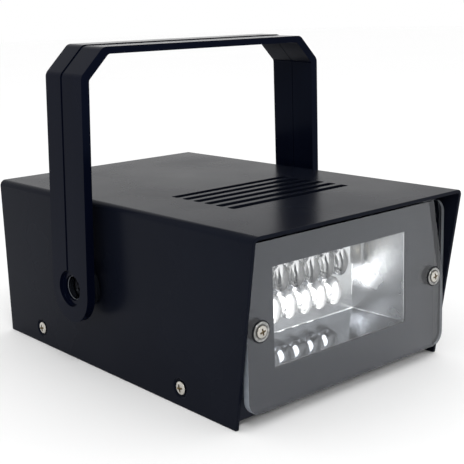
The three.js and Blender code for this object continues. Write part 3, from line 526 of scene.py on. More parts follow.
def spun(profile, steps=64, place=Matrix.Identity(4)):
    """A round piece: the profile, as (radius, height) points, spun about Z."""
    bm = bmesh.new()
    verts = [bm.verts.new((r, 0, z)) for r, z in profile]
    edges = [bm.edges.new(pair) for pair in zip(verts, verts[1:])]
    bmesh.ops.spin(bm, geom=verts + edges, axis=(0, 0, 1), cent=(0, 0, 0),
                   angle=math.tau, steps=steps, use_merge=True)
    solidity(bm)
    bmesh.ops.dissolve_degenerate(bm, dist=MERGE_MM, edges=bm.edges)
    bm.transform(place)
    return bm


def rod(radius, low, high, steps, place=Matrix.Identity(4)):
    """A plain round bar, such as a drill."""
    return spun([(0, low), (radius, low), (radius, high), (0, high)], steps, place)


def bevelled(bm, edges, width, segments=2, clamp=False):
    bmesh.ops.bevel(bm, geom=edges, offset=width, offset_type="OFFSET", affect="EDGES",
                    segments=segments, profile=0.5, material=-1, clamp_overlap=clamp)
    return bm


def soften(bm, width, segments=2, keep=lambda edge: True):
    """Rounds every edge that folds clearly, as tumbling or moulding leaves it."""
    sharp = [e for e in bm.edges
             if len(e.link_faces) == 2 and e.calc_face_angle(0) > CLEAR_FOLD and keep(e)]
    return bevelled(bm, sharp, width, segments, clamp=True)


def finished(name, bm, finishes, stands_for=(), body="housing", smooth=32):
    """Moves a piece into the frame, shades it, and makes it ride with its body."""
    bm.transform(INTO_FRAME)
    for face in bm.faces:
        face.smooth = True
    for edge in bm.edges:
        edge.smooth = len(edge.link_faces) == 2 and edge.calc_face_angle(0) < math.radians(smooth)
    mesh = bpy.data.meshes.new(name)
    bm.to_mesh(mesh)
    bm.free()
    piece = placed(name, mesh)
    for finish in finishes:
        mesh.materials.append(finish.material)
    even = piece.modifiers.new("even_shading", "WEIGHTED_NORMAL")
    even.keep_sharp = True
    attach(piece, body)
    if stands_for:
        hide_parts(*stands_for)
    print(f"{name}: {len(mesh.polygons)} faces")


print("faces of a drill:", len(rod(1, 0, 9, 24).faces))

# %% [markdown]
# ## Dimples for the cover's screws
#
# Each screw sits in a pressed dimple, a shallow cone with a soft rim, so that its head hardly stands
# out from the side. A cup is joined on inside, and then the hollow and the screw's hole are cut
# through both.

# %% Press the dimples and drill the pivot holes
M3_HOLE, M4_HOLE = 1.65, 2.15
PIVOT_Y, PIVOT_Z = -79.5, 40.2
SCREW_Y, SCREW_Z = (-DEEP + 48, -32), 8.0
DIMPLE_FLOOR = HALF - 1
cup_profile = [(0, DIMPLE_FLOOR - SHEET), (4.75, DIMPLE_FLOOR - SHEET), (5.7, inner), (5.7, inner + 0.6),
               (0, inner + 0.6)]
hollow_profile = [(0, DIMPLE_FLOOR - 3), (M3_HOLE, DIMPLE_FLOOR - 3), (M3_HOLE, DIMPLE_FLOOR),
                  (3.55, DIMPLE_FLOOR), (4.2, HALF - 0.25), (4.65, HALF), (5.4, HALF + 1), (0, HALF + 1)]
cups, hollows = [], []
for side in SIDES.values():
    for y in SCREW_Y:
        cups.append(spun(cup_profile, 48, at(0, y, SCREW_Z, outward(side))))
        hollows.append(spun(hollow_profile, 48, at(0, y, SCREW_Z, outward(side))))
    hollows.append(rod(M4_HOLE, inner - PAST, HALF + PAST, 32, at(0, PIVOT_Y, PIVOT_Z, outward(side))))
cover = carved(carved(cover, *cups, way="UNION"), *hollows)
soften(cover, 0.22)
finished("folded_cover", cover, [paint], ["top_cover"])

# %% [markdown]
# ## The tray
#
# Floor, front panel and rear panel are one strip, bent up at both ends. Its solid already has the
# right shape, so a copy of it is merged and its cut edges are rounded.

# %% Soften the tray's edges
def copy_of(node):
    """A CAD node's own shape in millimetres, with its loose triangles merged."""
    bm = bmesh.new()
    bm.from_mesh(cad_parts[node].data)
    bm.transform(INTO_FRAME.inverted())
    bmesh.ops.remove_doubles(bm, verts=bm.verts, dist=0.002)
    bmesh.ops.dissolve_limit(bm, angle_limit=math.radians(1), verts=bm.verts, edges=bm.edges)
    return bm


tray = soften(copy_of("base_tray"), 0.18)
finished("folded_tray", tray, [panel_paint], ["base_tray"])

# %% [markdown]
# ## Pan-head screws
#
# All the screws are pan heads with a cross recess. The recess tapers towards its floor and its wings
# have round ends, so each bar of the cross is a wedge that is narrower below. The thread is a stack
# of rings here, since a helix would only show from inside the tray.

# %% Turn and broach a screw
M3_SHANK, M4_SHANK = 1.5, 2.0
CROSS_TURN = 12


def brick(x, y, z):
    """A block between two x, two y and two z values."""
    bm = bmesh.new()
    bmesh.ops.create_cube(bm, size=1)
    size = [b - a for a, b in (x, y, z)]
    middle = [(a + b) / 2 for a, b in (x, y, z)]
    bm.transform(Matrix.Translation(middle) @ Matrix.Diagonal((*size, 1)))
    return bm


def screw_profile(head, high, shank, length):
    """The outline of a screw from its tip to the top of its head, whose underside is at 0."""
    tip, pitch = 0.35 * shank, 0.5 * shank
    rings = [(0, -length), (shank - tip, -length), (shank, -length + tip)]
    for k in range(int((length - tip - 0.6) / pitch)):
        low = -length + tip + k * pitch
        rings += [(shank, low + 0.1 * pitch), (shank * 0.82, low + 0.5 * pitch), (shank, low + 0.9 * pitch)]
    angles = [math.radians(9 * k) for k in range(10)]
    dome = [(head * math.cos(t), high * (0.42 + 0.58 * math.sin(t))) for t in angles]
    return rings + [(shank, -0.3), (shank, 0), (head - 0.12, 0), (head, 0.12), *dome, (0, high)]


def cross_bar(head, high, wing, turn):
    """One of the two wedges that cut the cross."""
    bar = brick((-head * wing / 2, head * wing / 2), (-head * 0.21, head * 0.21), (high * 0.38, high + 1))
    for v in bar.verts:
        if v.co.z < high:
            v.co.x *= 0.55
            v.co.y *= 0.6
    upright = [e for e in bar.edges if abs(e.verts[0].co.z - e.verts[1].co.z) > 0.5]
    bevelled(bar, upright, head * 0.06, 3)
    bar.transform(turned(turn, "Z"))
    return bar


def screw_piece(name, place, stands_for, head, high, shank, length, wing=1.7,
                finishes=(nickel, cross_recess_shade)):
    body = spun(screw_profile(head, high, shank, length), 48)
    body = carved(body, *(cross_bar(head, high, wing, turn + CROSS_TURN) for turn in (0, 90)))
    # The cross's walls and floor take the second finish, which paints the recess's shade.
    for face in body.faces:
        centre = face.calc_center_median()
        wall = face.normal.z < 0.75 and centre.z > high * 0.3 and centre.xy.length < head * wing * 0.52
        bottom = face.normal.z > 0.9 and 0.2 < centre.z < high * 0.5
        if (wall or bottom) and centre.xy.length < head * 0.66:
            face.material_index = 1
    body.transform(place)
    finished(name, body, finishes, stands_for)


for side_name, side in SIDES.items():
    for end_name, y in zip(("front", "rear"), SCREW_Y):
        seat = at(side * (DIMPLE_FLOOR + 0.2), y, SCREW_Z, outward(side))
        screw_piece(f"cover_pan_screw_{side_name}_{end_name}", seat,
                    [f"cover_screw_{side_name}_{end_name}"], head=2.9, high=1.25, shank=M3_SHANK,
                    length=6.0)

# %% [markdown]
# ## The clear plate
#
# The plate is cut from clear sheet and has round corners. Its two side edges are left as sawn, which
# makes them grey and dull, and its other edges are polished. It is one closed slab with two holes,
# since a thin shell would bend the light wrongly.

# %% Cut the clear plate
PANEL_FRONT = -DEEP + 15
PLATE_THICK, PLATE_CORNER, PLATE_GAP = 3, 6.3, 4.3
PLATE_BACK = PANEL_FRONT - PLATE_GAP
PLATE_FRONT = PLATE_BACK - PLATE_THICK
PLATE_HALF, PLATE_Z = inner - 0.8, (6.3, TOP - SHEET - 3.1)
LENS_X, LENS_Z = PLATE_HALF - 7.1, TOP / 2 + 0.15
outline = rounded_rectangle((-PLATE_HALF, PLATE_HALF), PLATE_Z, PLATE_CORNER, 14)
holes = [rod(M3_HOLE, -2, 6, 48, at(side * LENS_X, PLATE_BACK, LENS_Z, TO_FRONT))
         for side in SIDES.values()]
plate = carved(drawn(outline, PLATE_THICK, at(0, PLATE_BACK, 0, TO_FRONT)), *holes)
soften(plate, 0.25)
for face in plate.faces:
    past_screws = abs(face.calc_center_median().x) > LENS_X + 3
    sideways = abs(face.normal.y) < 0.6 and abs(face.normal.x) > 0.3
    face.material_index = int(past_screws and sideways)
finished("clear_front_plate", plate, [acrylic, sawn], ["lens_plate"])

# %% [markdown]
# ## What clamps the plate
#
# Each side has a pan-head screw in a nickelled cup washer, a black sleeve behind the plate, and a
# nut behind the panel. The cup washer is pressed from thin sheet, and its rim rolls over and dips to
# the head. Going outwards it has painted shade in the hollow, is bright on the roll, and has a black
# ring where its thin edge lies on the plate.

# %% Turn the cup washers, sleeves and nuts
TRAY_SHEET, FLANGE_SHEET, GAP = 1.2, 0.8, 0.2
M3_NUT, M4_NUT, THREAD_END = (5.5, 2.4), (7, 3.2), 1.2
PRESSED_SHEET, HAIR = 0.22, 0.05
WASHER_Y = PLATE_FRONT - HAIR
HEAD_Y = WASHER_Y - PRESSED_SHEET - HAIR
NUT_Y = PANEL_FRONT + TRAY_SHEET + GAP + FLANGE_SHEET + GAP
HOLLOW_RADIUS, ROLL_RADIUS = 2.9, 4.12


def arc(r, z, radius, start, end, steps=6):
    """Points of an arc in a profile, from one angle to another in degrees."""
    angles = [math.radians(start + (end - start) * k / steps) for k in range(steps + 1)]
    return [(r + radius * math.cos(t), z + radius * math.sin(t)) for t in angles]


def nut_piece(name, node, size, bore, place, finish=zinc):
    """A hexagonal nut with turned corners and a countersunk bore."""
    across, thick = size
    corner = across / math.sqrt(3)
    angles = [math.radians(60 * k) for k in range(6)]
    bar = drawn([(corner * math.cos(t), corner * math.sin(t)) for t in angles], thick)
    rounded = spun([(0, 0), (across * 0.5, 0), (corner + 0.05, thick * 0.14), (corner + 0.05, thick * 0.86),
                    (across * 0.5, thick), (0, thick)], 48)
    bored = spun([(0, -1), (bore + 0.3, -1), (bore + 0.3, 0), (bore, 0.3), (bore, thick - 0.3),
                  (bore + 0.3, thick), (bore + 0.3, thick + 1), (0, thick + 1)], 32)
    nut = carved(carved(bar, rounded, way="INTERSECT"), bored)
    nut.transform(place)
    finished(name, nut, [finish], [node])


cup_profile = [(M3_HOLE, 0), (4.6, 0), (4.65, 0.04), (4.65, 0.1), (4.6, 0.14), (4.1, 0.14)]
cup_profile += arc(3.84, 0.26, 0.26, -10, 90)
cup_profile += [(3.3, 0.5), (2.95, 0.43), (2.75, 0.26), (M3_HOLE, PRESSED_SHEET), (M3_HOLE, 0)]
sleeve_profile = [(M3_HOLE, 0), (3.85, 0), (4, 0.15), (4, 3.75), (3.85, 3.9), (M3_HOLE, 3.9), (M3_HOLE, 0)]
for side_name, side in SIDES.items():
    x = side * LENS_X
    cup = spun(cup_profile, 64, at(x, WASHER_Y, LENS_Z, TO_FRONT))
    # Faces inside HOLLOW_RADIUS take the painted hollow shade, and faces past ROLL_RADIUS the black ring.
    for face in cup.faces:
        centre = face.calc_center_median() - Vector((x, WASHER_Y, LENS_Z))
        from_axis = math.hypot(centre.x, centre.z)
        face.material_index = 1 if from_axis < HOLLOW_RADIUS else 2 if from_axis > ROLL_RADIUS else 0
    finished(f"cup_washer_{side_name}", cup, [worn_nickel, washer_hollow_shade, black_metal],
             [f"lens_washer_{side_name}"])
    screw_piece(f"plate_screw_{side_name}", at(x, HEAD_Y, LENS_Z, TO_FRONT), [f"lens_screw_{side_name}"],
                head=2.5, high=0.95, shank=M3_SHANK, length=NUT_Y + M3_NUT[1] + THREAD_END - HEAD_Y)
    tube = spun(sleeve_profile, 48, at(x, PANEL_FRONT - GAP, LENS_Z, TO_FRONT))
    finished(f"plate_sleeve_{side_name}", tube, [plain_black],
             [f"lens_spacer_{side_name}"])
    nut_piece(f"plate_nut_{side_name}", f"lens_nut_{side_name}", M3_NUT, M3_HOLE,
              at(x, NUT_Y, LENS_Z, TO_BACK))

# %% [markdown]
# ## The mirrored box
#
# The reflector is a shallow funnel of polished sheet with a flange round its mouth and eleven upright
# oval holes in its back wall. Two tapered blocks, one inside the other, leave the sheet between
# them, and four pegs behind carry the LEDs' board. Small tabs from the back wall are folded forward
# onto the side walls and hold it square.

# %% Fold the reflector
FRONT, BACK, WINDOW_Z = -175.6, -149.5, 41.0
FUNNEL_DEEP, SIDE_TAPER = 26.1, 5.7 / 26.1
MOUTH, THROAT = (82.0, 42.6), (70.6, 38.2)
FLANGE_X, FLANGE_Z = 57.5, 25
LED_PITCH, ROW_RISE = 9.3, 6.4
LED_PLACES = [((column - 2.5 + row / 2) * LED_PITCH, WINDOW_Z + ROW_RISE - 2 * ROW_RISE * row)
              for row in range(2) for column in range(6 - row)]
HOLE_HALF = (4.25, 6.85)
PEG_X, PEG_Z = 18.6, 16.9
LARGE_WALL, LONG_EDGE = 300, 20


def funnel(front, back, y0, y1):
    """A block between two depths, with one width and height in front and another behind."""
    bm = brick((-0.5, 0.5), (y0, y1), (-0.5, 0.5))
    for v in bm.verts:
        wide, high = front if v.co.y < (y0 + y1) / 2 else back
        v.co.x, v.co.z = v.co.x * wide, WINDOW_Z + v.co.z * high
    return bm


def oval(profile, x, y, z, steps=40, tall=1.65):
    """A round shape that faces the front and is stretched upwards."""
    return spun(profile, steps, at(x, y, z, TO_FRONT) @ Matrix.Diagonal((1, tall, 1, 1)))


def inner_corner(edge):
    """A long edge where two of the funnel's inner walls meet."""
    inside = all(abs(v.co.z - WINDOW_Z) < 21.5 and abs(v.co.x) < 41.2 and v.co.y < BACK + 0.01
                 for v in edge.verts)
    return inside and edge.calc_length() > LONG_EDGE


outside = funnel(*([v + 2 * FLANGE_SHEET for v in size] for size in (MOUTH, THROAT)), FRONT,
                 BACK + FLANGE_SHEET)
flange = brick((-FLANGE_X, FLANGE_X), (FRONT, FRONT + FLANGE_SHEET),
               (WINDOW_Z - FLANGE_Z, WINDOW_Z + FLANGE_Z))
flare = [m + (m - t) * PAST / FUNNEL_DEEP for m, t in zip(MOUTH, THROAT)]
box = carved(carved(outside, flange, way="UNION"), funnel(flare, THROAT, FRONT - PAST, BACK))
hole_profile = [(0, -2), (HOLE_HALF[0], -2), (HOLE_HALF[0], 2), (0, 2)]
openings = [oval(hole_profile, x, BACK + 0.4, z, 40, HOLE_HALF[1] / HOLE_HALF[0]) for x, z in LED_PLACES]
openings += [rod(M3_HOLE, -2, 2, 32, at(side * LENS_X, FRONT, LENS_Z, TO_FRONT)) for side in SIDES.values()]
box = carved(box, *openings)
peg_profile = [(0, 0), (2, 0), (2, 2.1), (1.3, 2.1), (1.3, 5.4), (1.1, 5.7), (0, 5.7)]
pegs = [spun(peg_profile, 32, at(side * PEG_X, BACK + 0.4, WINDOW_Z + up_down * PEG_Z, TO_BACK))
        for side in SIDES.values() for up_down in (-1, 1)]
box = carved(box, *pegs, way="UNION")
soften(box, 0.45, 3, inner_corner)
for face in box.faces:
    centre = face.calc_center_median()
    if face.calc_area() > LARGE_WALL and abs(centre.y - BACK) < 0.05:
        face.material_index = 3
    elif face.calc_area() > LARGE_WALL and FRONT + 2 < centre.y < BACK - 2:
        inside = abs(centre.x) < 41 and abs(centre.z - WINDOW_Z) < 21.3
        # Inside, the side walls take the dull finish, and the floor and ceiling the painted shade.
        face.material_index = 0 if not inside else 1 if abs(face.normal.x) > 0.9 else 2
finished("mirrored_box", box, [mirror, dull_mirror, painted_shade_mirror, frosted],
         ["reflector"])

for side_name, side in SIDES.items():
    tab = brick((-0.75, -0.2), (-5.6, -0.1), (43.5, 54.6))
    tab.transform(at(THROAT[0] / 2, BACK, 0, Matrix.Rotation(math.atan(SIDE_TAPER), 4, "Z")))
    soften(tab, 0.12)
    tab.transform(Matrix.Diagonal((side, 1, 1, 1)))
    bmesh.ops.recalc_face_normals(tab, faces=tab.faces)
    finished(f"folded_tab_{side_name}", tab, [frosted])

# %% [markdown]
# ## The LEDs
#
# Each LED is a water-clear oval dome cast round a silvered lead frame, whose cup holds the chip
# under a drop of yellow phosphor. A dome is a quarter arc spun and then stretched upwards. The lower
# row is lit, which the photograph shows as bright spots at the feet of the domes.

# %% Cast the LEDs
BOARD_GAP, UPPER_ROW = 1.9, 6
LED_FOOT = BACK + FLANGE_SHEET + BOARD_GAP - GAP
dome_profile = [(0, 0), (4.35, 0), (4.45, 0.1), (4.45, 0.9), (4.35, 1), (4.0, 1.05)]
dome_profile += arc(0, 6, 4, 0, 90, 14)
frame_profile = [(0, 0.15), (0.4, 0.15), (0.4, 1.9), (1.35, 2.6), (1.35, 2.75), (1.15, 2.75), (0.7, 2.35),
                 (0, 2.35)]
lit_profile = [(0, 2.4)] + arc(0, 3.4, 1.5, -50, 90, 10)
drop_profile = [(0, 2.4), (0.66, 2.4), (1.1, 2.8), (0.8, 2.98), (0.4, 3.08), (0, 3.1)]
frames, lit, unlit = bmesh.new(), bmesh.new(), bmesh.new()


def added(target, piece):
    """Puts a finished shape into another mesh."""
    spare = bpy.data.meshes.new("spare")
    piece.to_mesh(spare)
    target.from_mesh(spare)
    bpy.data.meshes.remove(spare)


for number, (x, z) in enumerate(LED_PLACES, 1):
    here = at(x, LED_FOOT, z, TO_FRONT)
    is_lit = number > UPPER_ROW
    dome = oval(dome_profile, x, LED_FOOT, z)
    finished(f"led_dome_{number:02}", dome, [lit_epoxy if is_lit else epoxy],
             [f"led_{number:02}"], smooth=40)
    added(frames, spun(frame_profile, 24, here))
    anvil = brick((-1.9, -1.5), (-0.25, 0.25), (0.15, 3.1))
    bevelled(anvil, anvil.edges[:], 0.08)
    anvil.transform(here)
    added(frames, anvil)
    if is_lit:
        added(lit, oval(lit_profile, x, LED_FOOT, z, 32))
    else:
        added(unlit, spun(drop_profile, 24, here))
finished("led_lead_frames", frames, [silver])
finished("lower_row_chips", lit, [glow])
# The upper row is unlit, and its chips carry that faint painted glow.
finished("upper_row_chips", unlit, [phosphor])
led_board = soften(copy_of("led_board"), 0.12)
finished("led_circuit_board", led_board, [white_mask], ["led_board"])

# %% [markdown]
# ## The bracket
#
# The bracket is one nylon moulding: a strap that runs up one leg, over a chamfered corner, across
# and down again. Its rear half stands 0.4 mm proud, which leaves the fine step along the middle. The
# strap's path is offset inwards to give the section, the section is pushed along the depth, and both
# legs are trimmed to round ends. Three thin layers make the proud half. Near the round ends they sink
# into the legs, so that the step fades out, and no two of them share the plane of a face.

# %% Mould the bracket
LEG_X = HALF + 6.43
STRAP_THICK, STRAP_HALF = 4, 14
CORNER_Z, LEG_LEAN = 94.8, 2.57
CROSSBAR_END = (58.56, 106.7)
INNER_OFFSETS = [-STRAP_THICK, -STRAP_THICK, -3.1, -STRAP_THICK, -STRAP_THICK]
LAYERS = ((0.4, STRAP_HALF, 1.9), (0.3, 10, 1.7), (0.15, 8, 1.6))
LAYER_THICK = 2.6
FADE_FROM, FADE_TO, FADE_SINK = -2, -20, 1.3
STRAP_FOOT, ABOVE_ALL = -17.5, 112
TILT = at(0, PIVOT_Y, PIVOT_Z, turned(1.49, "X"))


def leg_x(z):
    """How far out the leg's outer face is at this height; the legs lean in upwards."""
    return LEG_X + STRAP_THICK - LEG_LEAN * z / CORNER_Z


def offset_path(points, distances):
    """Moves each stretch of a line sideways by its own distance and joins them again."""
    stretches = []
    for a, b, distance in zip(points, points[1:], distances):
        along = (Vector(b) - Vector(a)).normalized()
        aside = Vector((-along.y, along.x)) * distance
        stretches.append((Vector(a) + aside, Vector(b) + aside, along))
    moved = [stretches[0][0]]
    for (a, _, da), (b, _, db) in zip(stretches, stretches[1:]):
        share = ((b.x - a.x) * db.y - (b.y - a.y) * db.x) / (da.x * db.y - da.y * db.x)
        moved.append(a + da * share)
    moved.append(stretches[-1][1])
    return [tuple(p) for p in moved]


def eased(points, radius):
    """Gives every point between the ends its corner radius."""
    return [(*p, radius) if 0 < i < len(points) - 1 else p for i, p in enumerate(points)]


def band(outer, within):
    """The closed outline between two lines that run the same way."""
    return rounded_corners(outer + within[::-1])


def strap_line(low):
    """The strap's outer line, up one leg and down the other, from and to this height."""
    half = [CROSSBAR_END, (leg_x(CORNER_Z), CORNER_Z), (leg_x(low), low)]
    return [(-x, z) for x, z in reversed(half)] + half


path = strap_line(STRAP_FOOT)
strap = drawn(band(eased(path, 4), eased(offset_path(path, INNER_OFFSETS), 2)), 2 * STRAP_HALF,
              at(0, STRAP_HALF, 0, TO_FRONT))
layers = []
for rise, back, front in LAYERS:
    fading = [(leg_x(FADE_FROM) + rise, FADE_FROM), (leg_x(FADE_TO) + rise - FADE_SINK, FADE_TO)]
    upper = eased(offset_path(strap_line(FADE_TO), [rise] * 5), 4)[1:-1]
    rear = [(-x, z) for x, z in fading[::-1]] + upper + fading
    hidden = eased(offset_path(strap_line(FADE_TO), [rise - LAYER_THICK] * 5), 4)
    layers.append(drawn(band(rear, hidden), back - front, at(0, back, 0, TO_FRONT)))
round_end = arc(0, -1.5, STRAP_HALF, 180, 360, 40)[1:]
ends = [(-STRAP_HALF, ABOVE_ALL), (-STRAP_HALF, -1.5)] + round_end + [(STRAP_HALF, ABOVE_ALL)]
shape = drawn(ends, 4 * HALF, at(-2 * HALF, 0, 0, TO_RIGHT))
strap = carved(carved(strap, *layers, way="UNION"), shape, way="INTERSECT")
print("strap:", len(strap.faces), "faces")

# %% [markdown]
# ## The bracket's round ends
#
# Each leg ends in a disc with a shallow recess for the pivot screw outside, and a raised pad that
# rubs on the spacer inside. A fine groove runs along the middle of the inner face, where the two
# halves of the mould meet. The bracket is shaped round its pivot and tilted at the very end.

# %% Form the round ends
GROOVE_WIDE, GROOVE_DEEP, GROOVE_FOOT = 0.35, 0.2, 15


def outer_edge(edge):
    """An edge on the strap's flat sides or round its ends, clear of the recess and the pad."""
    on_sides = all(abs(abs(v.co.y) - STRAP_HALF) < 0.02 or v.co.z < 0 for v in edge.verts)
    off_recess = all(v.co.xz.length > 12.6 or abs(v.co.y) > 12.6 for v in edge.verts)
    off_pad = all(math.hypot(v.co.y, v.co.z) > 13.5 for v in edge.verts)
    return edge.calc_length() > 0.3 and on_sides and off_recess and off_pad


pad_profile = [(0, -0.5), (9.6, -0.5), (9.8, -0.3), (9.8, 0.9), (0, 0.9)]
recess_profile = [(0, -4), (5.85, -4), (5.85, 2.6), (7.8, 2.6), (8.1, 2.7), (8.25, 2.95), (8.4, 6), (0, 6)]
leg_ends = [at(side * LEG_X, 0, 0, outward(side)) for side in SIDES.values()]
pads = [spun(pad_profile, 96, place) for place in leg_ends]
cuts = [spun(recess_profile, 96, place) for place in leg_ends]
groove = [eased(offset_path(strap_line(GROOVE_FOOT), [d + shift for d in INNER_OFFSETS]), 1)
          for shift in (GROOVE_DEEP, -0.6)]
cuts.append(drawn(band(*groove), GROOVE_WIDE, at(0, GROOVE_WIDE / 2, 0, TO_FRONT)))
strap = carved(carved(strap, *pads, way="UNION"), *cuts)
soften(strap, 0.8, 4, outer_edge)
strap.transform(TILT)
finished("hanging_bracket", strap, [nylon], ["handle"], "handle")

# %% [markdown]
# ## The spacers and pivot screws
#
# A round spacer between leg and cover gives the friction that holds the bracket where it is put. It
# has a rolled rim, and its hub carries the leg. The pivot screw's head sits at the bottom of the hub.

# %% Turn the spacers, pivot screws and nuts
FOOT_X, FACE_X = HALF + GAP, LEG_X - 0.5 - 0.3
HUB_X, HUB_END = FOOT_X + 3.5, LEG_X + 1.8
HEAD_X, NUT_X = HUB_X + GAP, inner - GAP
RIM_RADIUS, ROLL = 8.6, 1.2
spacer_profile = [(M4_HOLE, FOOT_X), (RIM_RADIUS, FOOT_X)]
spacer_profile += arc(RIM_RADIUS, FOOT_X + ROLL, ROLL, -90, 0)[1:]
spacer_profile += arc(RIM_RADIUS, FACE_X - ROLL, ROLL, 0, 90)
spacer_profile += [(5.6, FACE_X), (5.6, HUB_END - 0.15), (5.45, HUB_END), (5.35, HUB_END),
                   (5.2, HUB_END - 0.15), (5.2, HUB_X), (M4_HOLE, HUB_X), (M4_HOLE, FOOT_X)]
for side_name, side in SIDES.items():
    spacer = spun(spacer_profile, 96, at(0, PIVOT_Y, PIVOT_Z, outward(side)))
    finished(f"rubbing_spacer_{side_name}", spacer, [polished],
             [f"friction_spacer_{side_name}"])
    screw_piece(f"bracket_screw_{side_name}", at(side * HEAD_X, PIVOT_Y, PIVOT_Z, outward(side)),
                [f"pivot_screw_{side_name}"], head=4.9, high=2.2, shank=M4_SHANK,
                length=HEAD_X - NUT_X + M4_NUT[1] + THREAD_END, wing=1.15,
                finishes=(black_metal, black_metal))
    nut_piece(f"bracket_nut_{side_name}", f"pivot_nut_{side_name}", M4_NUT, M4_HOLE,
              at(side * NUT_X, PIVOT_Y, PIVOT_Z, outward(-side)))

# %% [markdown]
# ## The rate control
#
# A potentiometer is clamped to the rear panel by a nut, and its shaft carries a knob with a fluted
# grip, a turned cap and a raised pointer line. The flutes are cut with thin rods set round the grip.

# %% Turn the control, its shaft and its knob
POT_X, POT_Z = 30, 48
REAR_IN, REAR_OUT = -2 - TRAY_SHEET, -2
POT_Y, KNOB_Y, KNOB_LONG = REAR_IN - GAP, REAR_OUT + GAP + 2 + 1, 14
BUSH_END, SHAFT_END = REAR_OUT + 2.9 - POT_Y, KNOB_Y + KNOB_LONG - 3.2 - POT_Y
FLUTES, FLUTE_RING, FLUTE_RADIUS = 24, 8.05, 0.5
axis, knob_axis = at(POT_X, POT_Y, POT_Z, TO_BACK), at(POT_X, KNOB_Y, POT_Z, TO_BACK)
pot = spun([(0, -7), (7.7, -7), (8, -6.7), (8, -0.2), (7.8, 0), (4.5, 0), (4.5, BUSH_END - 0.3),
            (4.2, BUSH_END), (3.15, BUSH_END), (3.15, -5), (0, -5)], 64, axis)
finished("control_body", pot, [zinc], ["speed_pot_body"])
shaft = spun([(0, -4.8), (2.9, -4.8), (3, -4.7), (3, SHAFT_END - 0.2), (2.8, SHAFT_END), (0, SHAFT_END)],
             48, axis)
finished("control_shaft", shaft, [zinc], ["speed_shaft"], "speed_control")
knob_profile = [(0, 11), (3.15, 11), (3.15, 0), (7.6, 0), (8, 0.4), (8, 1.6), (7.75, 2)]
knob_profile += arc(6.3, KNOB_LONG - 1, 1, 0, 90, 8)
knob_profile += [(5.4, KNOB_LONG), (5.2, KNOB_LONG - 0.15), (0, KNOB_LONG - 0.15)]
flutes = []
for k in range(FLUTES):
    angle = math.tau * (k + 0.5) / FLUTES
    spot = at(FLUTE_RING * math.cos(angle), FLUTE_RING * math.sin(angle), 0)
    flutes.append(rod(FLUTE_RADIUS, 2.4, KNOB_LONG + 1, 12, knob_axis @ spot))
knob = carved(spun(knob_profile, 96, knob_axis), *flutes)
finished("fluted_knob", knob, [plain_black], ["speed_knob"], "speed_control")
pointer = soften(brick((-0.8, 0.8), (KNOB_LONG - 0.5, KNOB_LONG + 0.7), (0.3, 6.2)), 0.15)
pointer.transform(at(POT_X, KNOB_Y, POT_Z))
finished("knob_pointer", pointer, [pointer_white], body="speed_control")
nut_piece("control_nut", "pot_nut", (12, 2), 4.65, at(POT_X, REAR_OUT + GAP, POT_Z, TO_BACK), nickel)

# %% [markdown]
# ## The inlet for the cord
#
# The supply cord would enter through a moulded gland. Rings round the tapered mouth let it flex, and
# they are drawn into the profile before it is spun.

# %% Mould the gland
GLAND_X, GLAND_Z = -30, 22
THREAD_FOOT, LIP = -9.4, 2.5
profile = [(3.5, THREAD_FOOT), (5.7, THREAD_FOOT), (6, THREAD_FOOT + 0.3)]
for k in range(7):
    low = THREAD_FOOT + 0.6 + 0.95 * k
    profile += [(6, low), (5.65, low + 0.45), (6, low + 0.9)]
profile += [(6, 0), (7.7, 0), (8, 0.3), (8, LIP - 0.5), (7.5, LIP)]
for k in range(3):
    low, wide = LIP + 0.3 + 1.8 * k, 7.4 - 0.6 * k
    profile += [(wide, low), (wide - 0.25, low + 0.9), (wide - 0.9, low + 1.1), (wide - 0.9, low + 1.4)]
profile += [(5.6, LIP + 5.7), (5.3, LIP + 6), (3.9, LIP + 6), (3.5, LIP + 5.6), (3.5, THREAD_FOOT)]
gland = spun(profile, 72, at(GLAND_X, REAR_OUT + GAP, GLAND_Z, TO_BACK))
finished("cord_inlet", gland, [plain_black], ["cord_gland"])
nut_piece("inlet_nut", "gland_nut", (17, 4), 6.15, at(GLAND_X, REAR_IN - GAP, GLAND_Z, TO_FRONT),
          plain_black)

# %% [markdown]
# ## The driver board
#
# The board and what stands on it can be glimpsed through the slots. The solids' shapes are kept and
# their edges rounded, the winding's the most and the chip's the least.

# %% Dress the driver board
DRESSED = [
    ("driver_board", mask, "circuit_board", 0.12),
    ("transformer_core", laminated, "transformer_steel", 0.25),
    ("transformer_winding", wire, "winding", 0.6), ("timer_chip", chip_black, "plain_black", 0.08),
    ("switching_transistor", chip_black, "plain_black", 0.12),
    ("rectifier", chip_black, "plain_black", 0.3), ("terminal_block", block_green, "terminal_green", 0.15)]
for node, finish, slot, width in DRESSED:
    finished(node + "_dressed", soften(copy_of(node), width), [finish], [node])
for side_name in SIDES:
    for end_name in ("front", "rear"):
        node = f"board_post_{side_name}_{end_name}"
        finished(node + "_turned", soften(copy_of(node), 0.1), [zinc], [node])

# %% [markdown]
# ## The capacitor
#
# The can is rolled in just above its foot, and three score lines in its top let it vent. The groove
# is part of the profile that is spun, and the lines are cut with thin blocks.

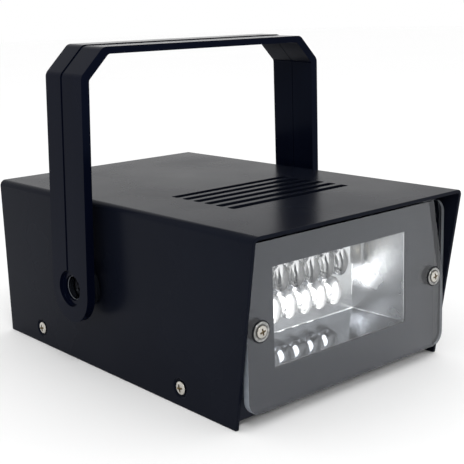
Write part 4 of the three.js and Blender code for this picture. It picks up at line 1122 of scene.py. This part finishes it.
# %% Spin the capacitor
low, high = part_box("main_capacitor")
middle = INTO_FRAME.inverted() @ ((low + high) / 2)
can_foot = (INTO_FRAME.inverted() @ low).z
can = spun([(0, 0), (7.6, 0), (8, 0.4), (8, 1.6), (7.5, 2.1), (7.5, 2.5), (8, 3.0), (8, 24.2), (7.9, 24.7),
            (7.6, 25), (6.9, 25), (6.7, 24.7), (0, 24.7)], 64, at(middle.x, middle.y, can_foot))
scores = []
for turn in (0, 60, 120):
    score = brick((-5.4, 5.4), (-0.2, 0.2), (24.4, 26))
    score.transform(at(middle.x, middle.y, can_foot, turned(turn, "Z")))
    scores.append(score)
finished("capacitor_can", carved(can, *scores), [sleeve], ["main_capacitor"])

# %% [markdown]
# ## Floor and light
#
# The photograph is a studio shot on white. A world of plain white gives soft light from all round,
# and the mirrors and clear pieces see it too. A pale floor keeps the object's shadow, and one broad
# lamp from the front left gives the shadow its direction.

# %% Lay the floor and light the room
FLOOR_HALF, FLOOR_DROP = 6, 0.0002
LAMP_SPOT, LAMP_AIM = Vector((-0.5, -0.9, 1.1)), Vector((0, 0, 0.05))
LAMP_WIDE, LAMP_WATTS = 0.5, 5
floor_mesh = bpy.data.meshes.new("floor")
ground = bmesh.new()
bmesh.ops.create_grid(ground, x_segments=1, y_segments=1, size=FLOOR_HALF)
ground.to_mesh(floor_mesh)
floor = placed("floor", floor_mesh)
floor.location.z = cad_box[0].z - FLOOR_DROP
white_floor = Finish("white_floor", Roughness=0.9, Specular_IOR_Level=0.1)
white_floor.patches(3, 2, (0.985, 0.985, 0.985), (0.99, 0.99, 0.99))
floor_mesh.materials.append(white_floor.material)

world = bpy.data.worlds.new("white_room")
bpy.context.scene.world = world
world.use_nodes = True
background = world.node_tree.nodes["Background"]
background.inputs["Color"].default_value = (1, 1, 1, 1)
background.inputs["Strength"].default_value = 1.0

lamp = placed("key_light", bpy.data.lights.new("key_light", "AREA"))
lamp.data.shape = "DISK"
lamp.data.size = LAMP_WIDE
lamp.data.energy = LAMP_WATTS
lamp.location = LAMP_SPOT
lamp.rotation_euler = (LAMP_AIM - LAMP_SPOT).to_track_quat("-Z", "Y").to_euler()
print("lamp's watts:", LAMP_WATTS)

# %% [markdown]
# ## The sizes
#
# The finished pieces have to fill the same box as the solids. The solids' box was measured as
# cad_box when they were loaded.
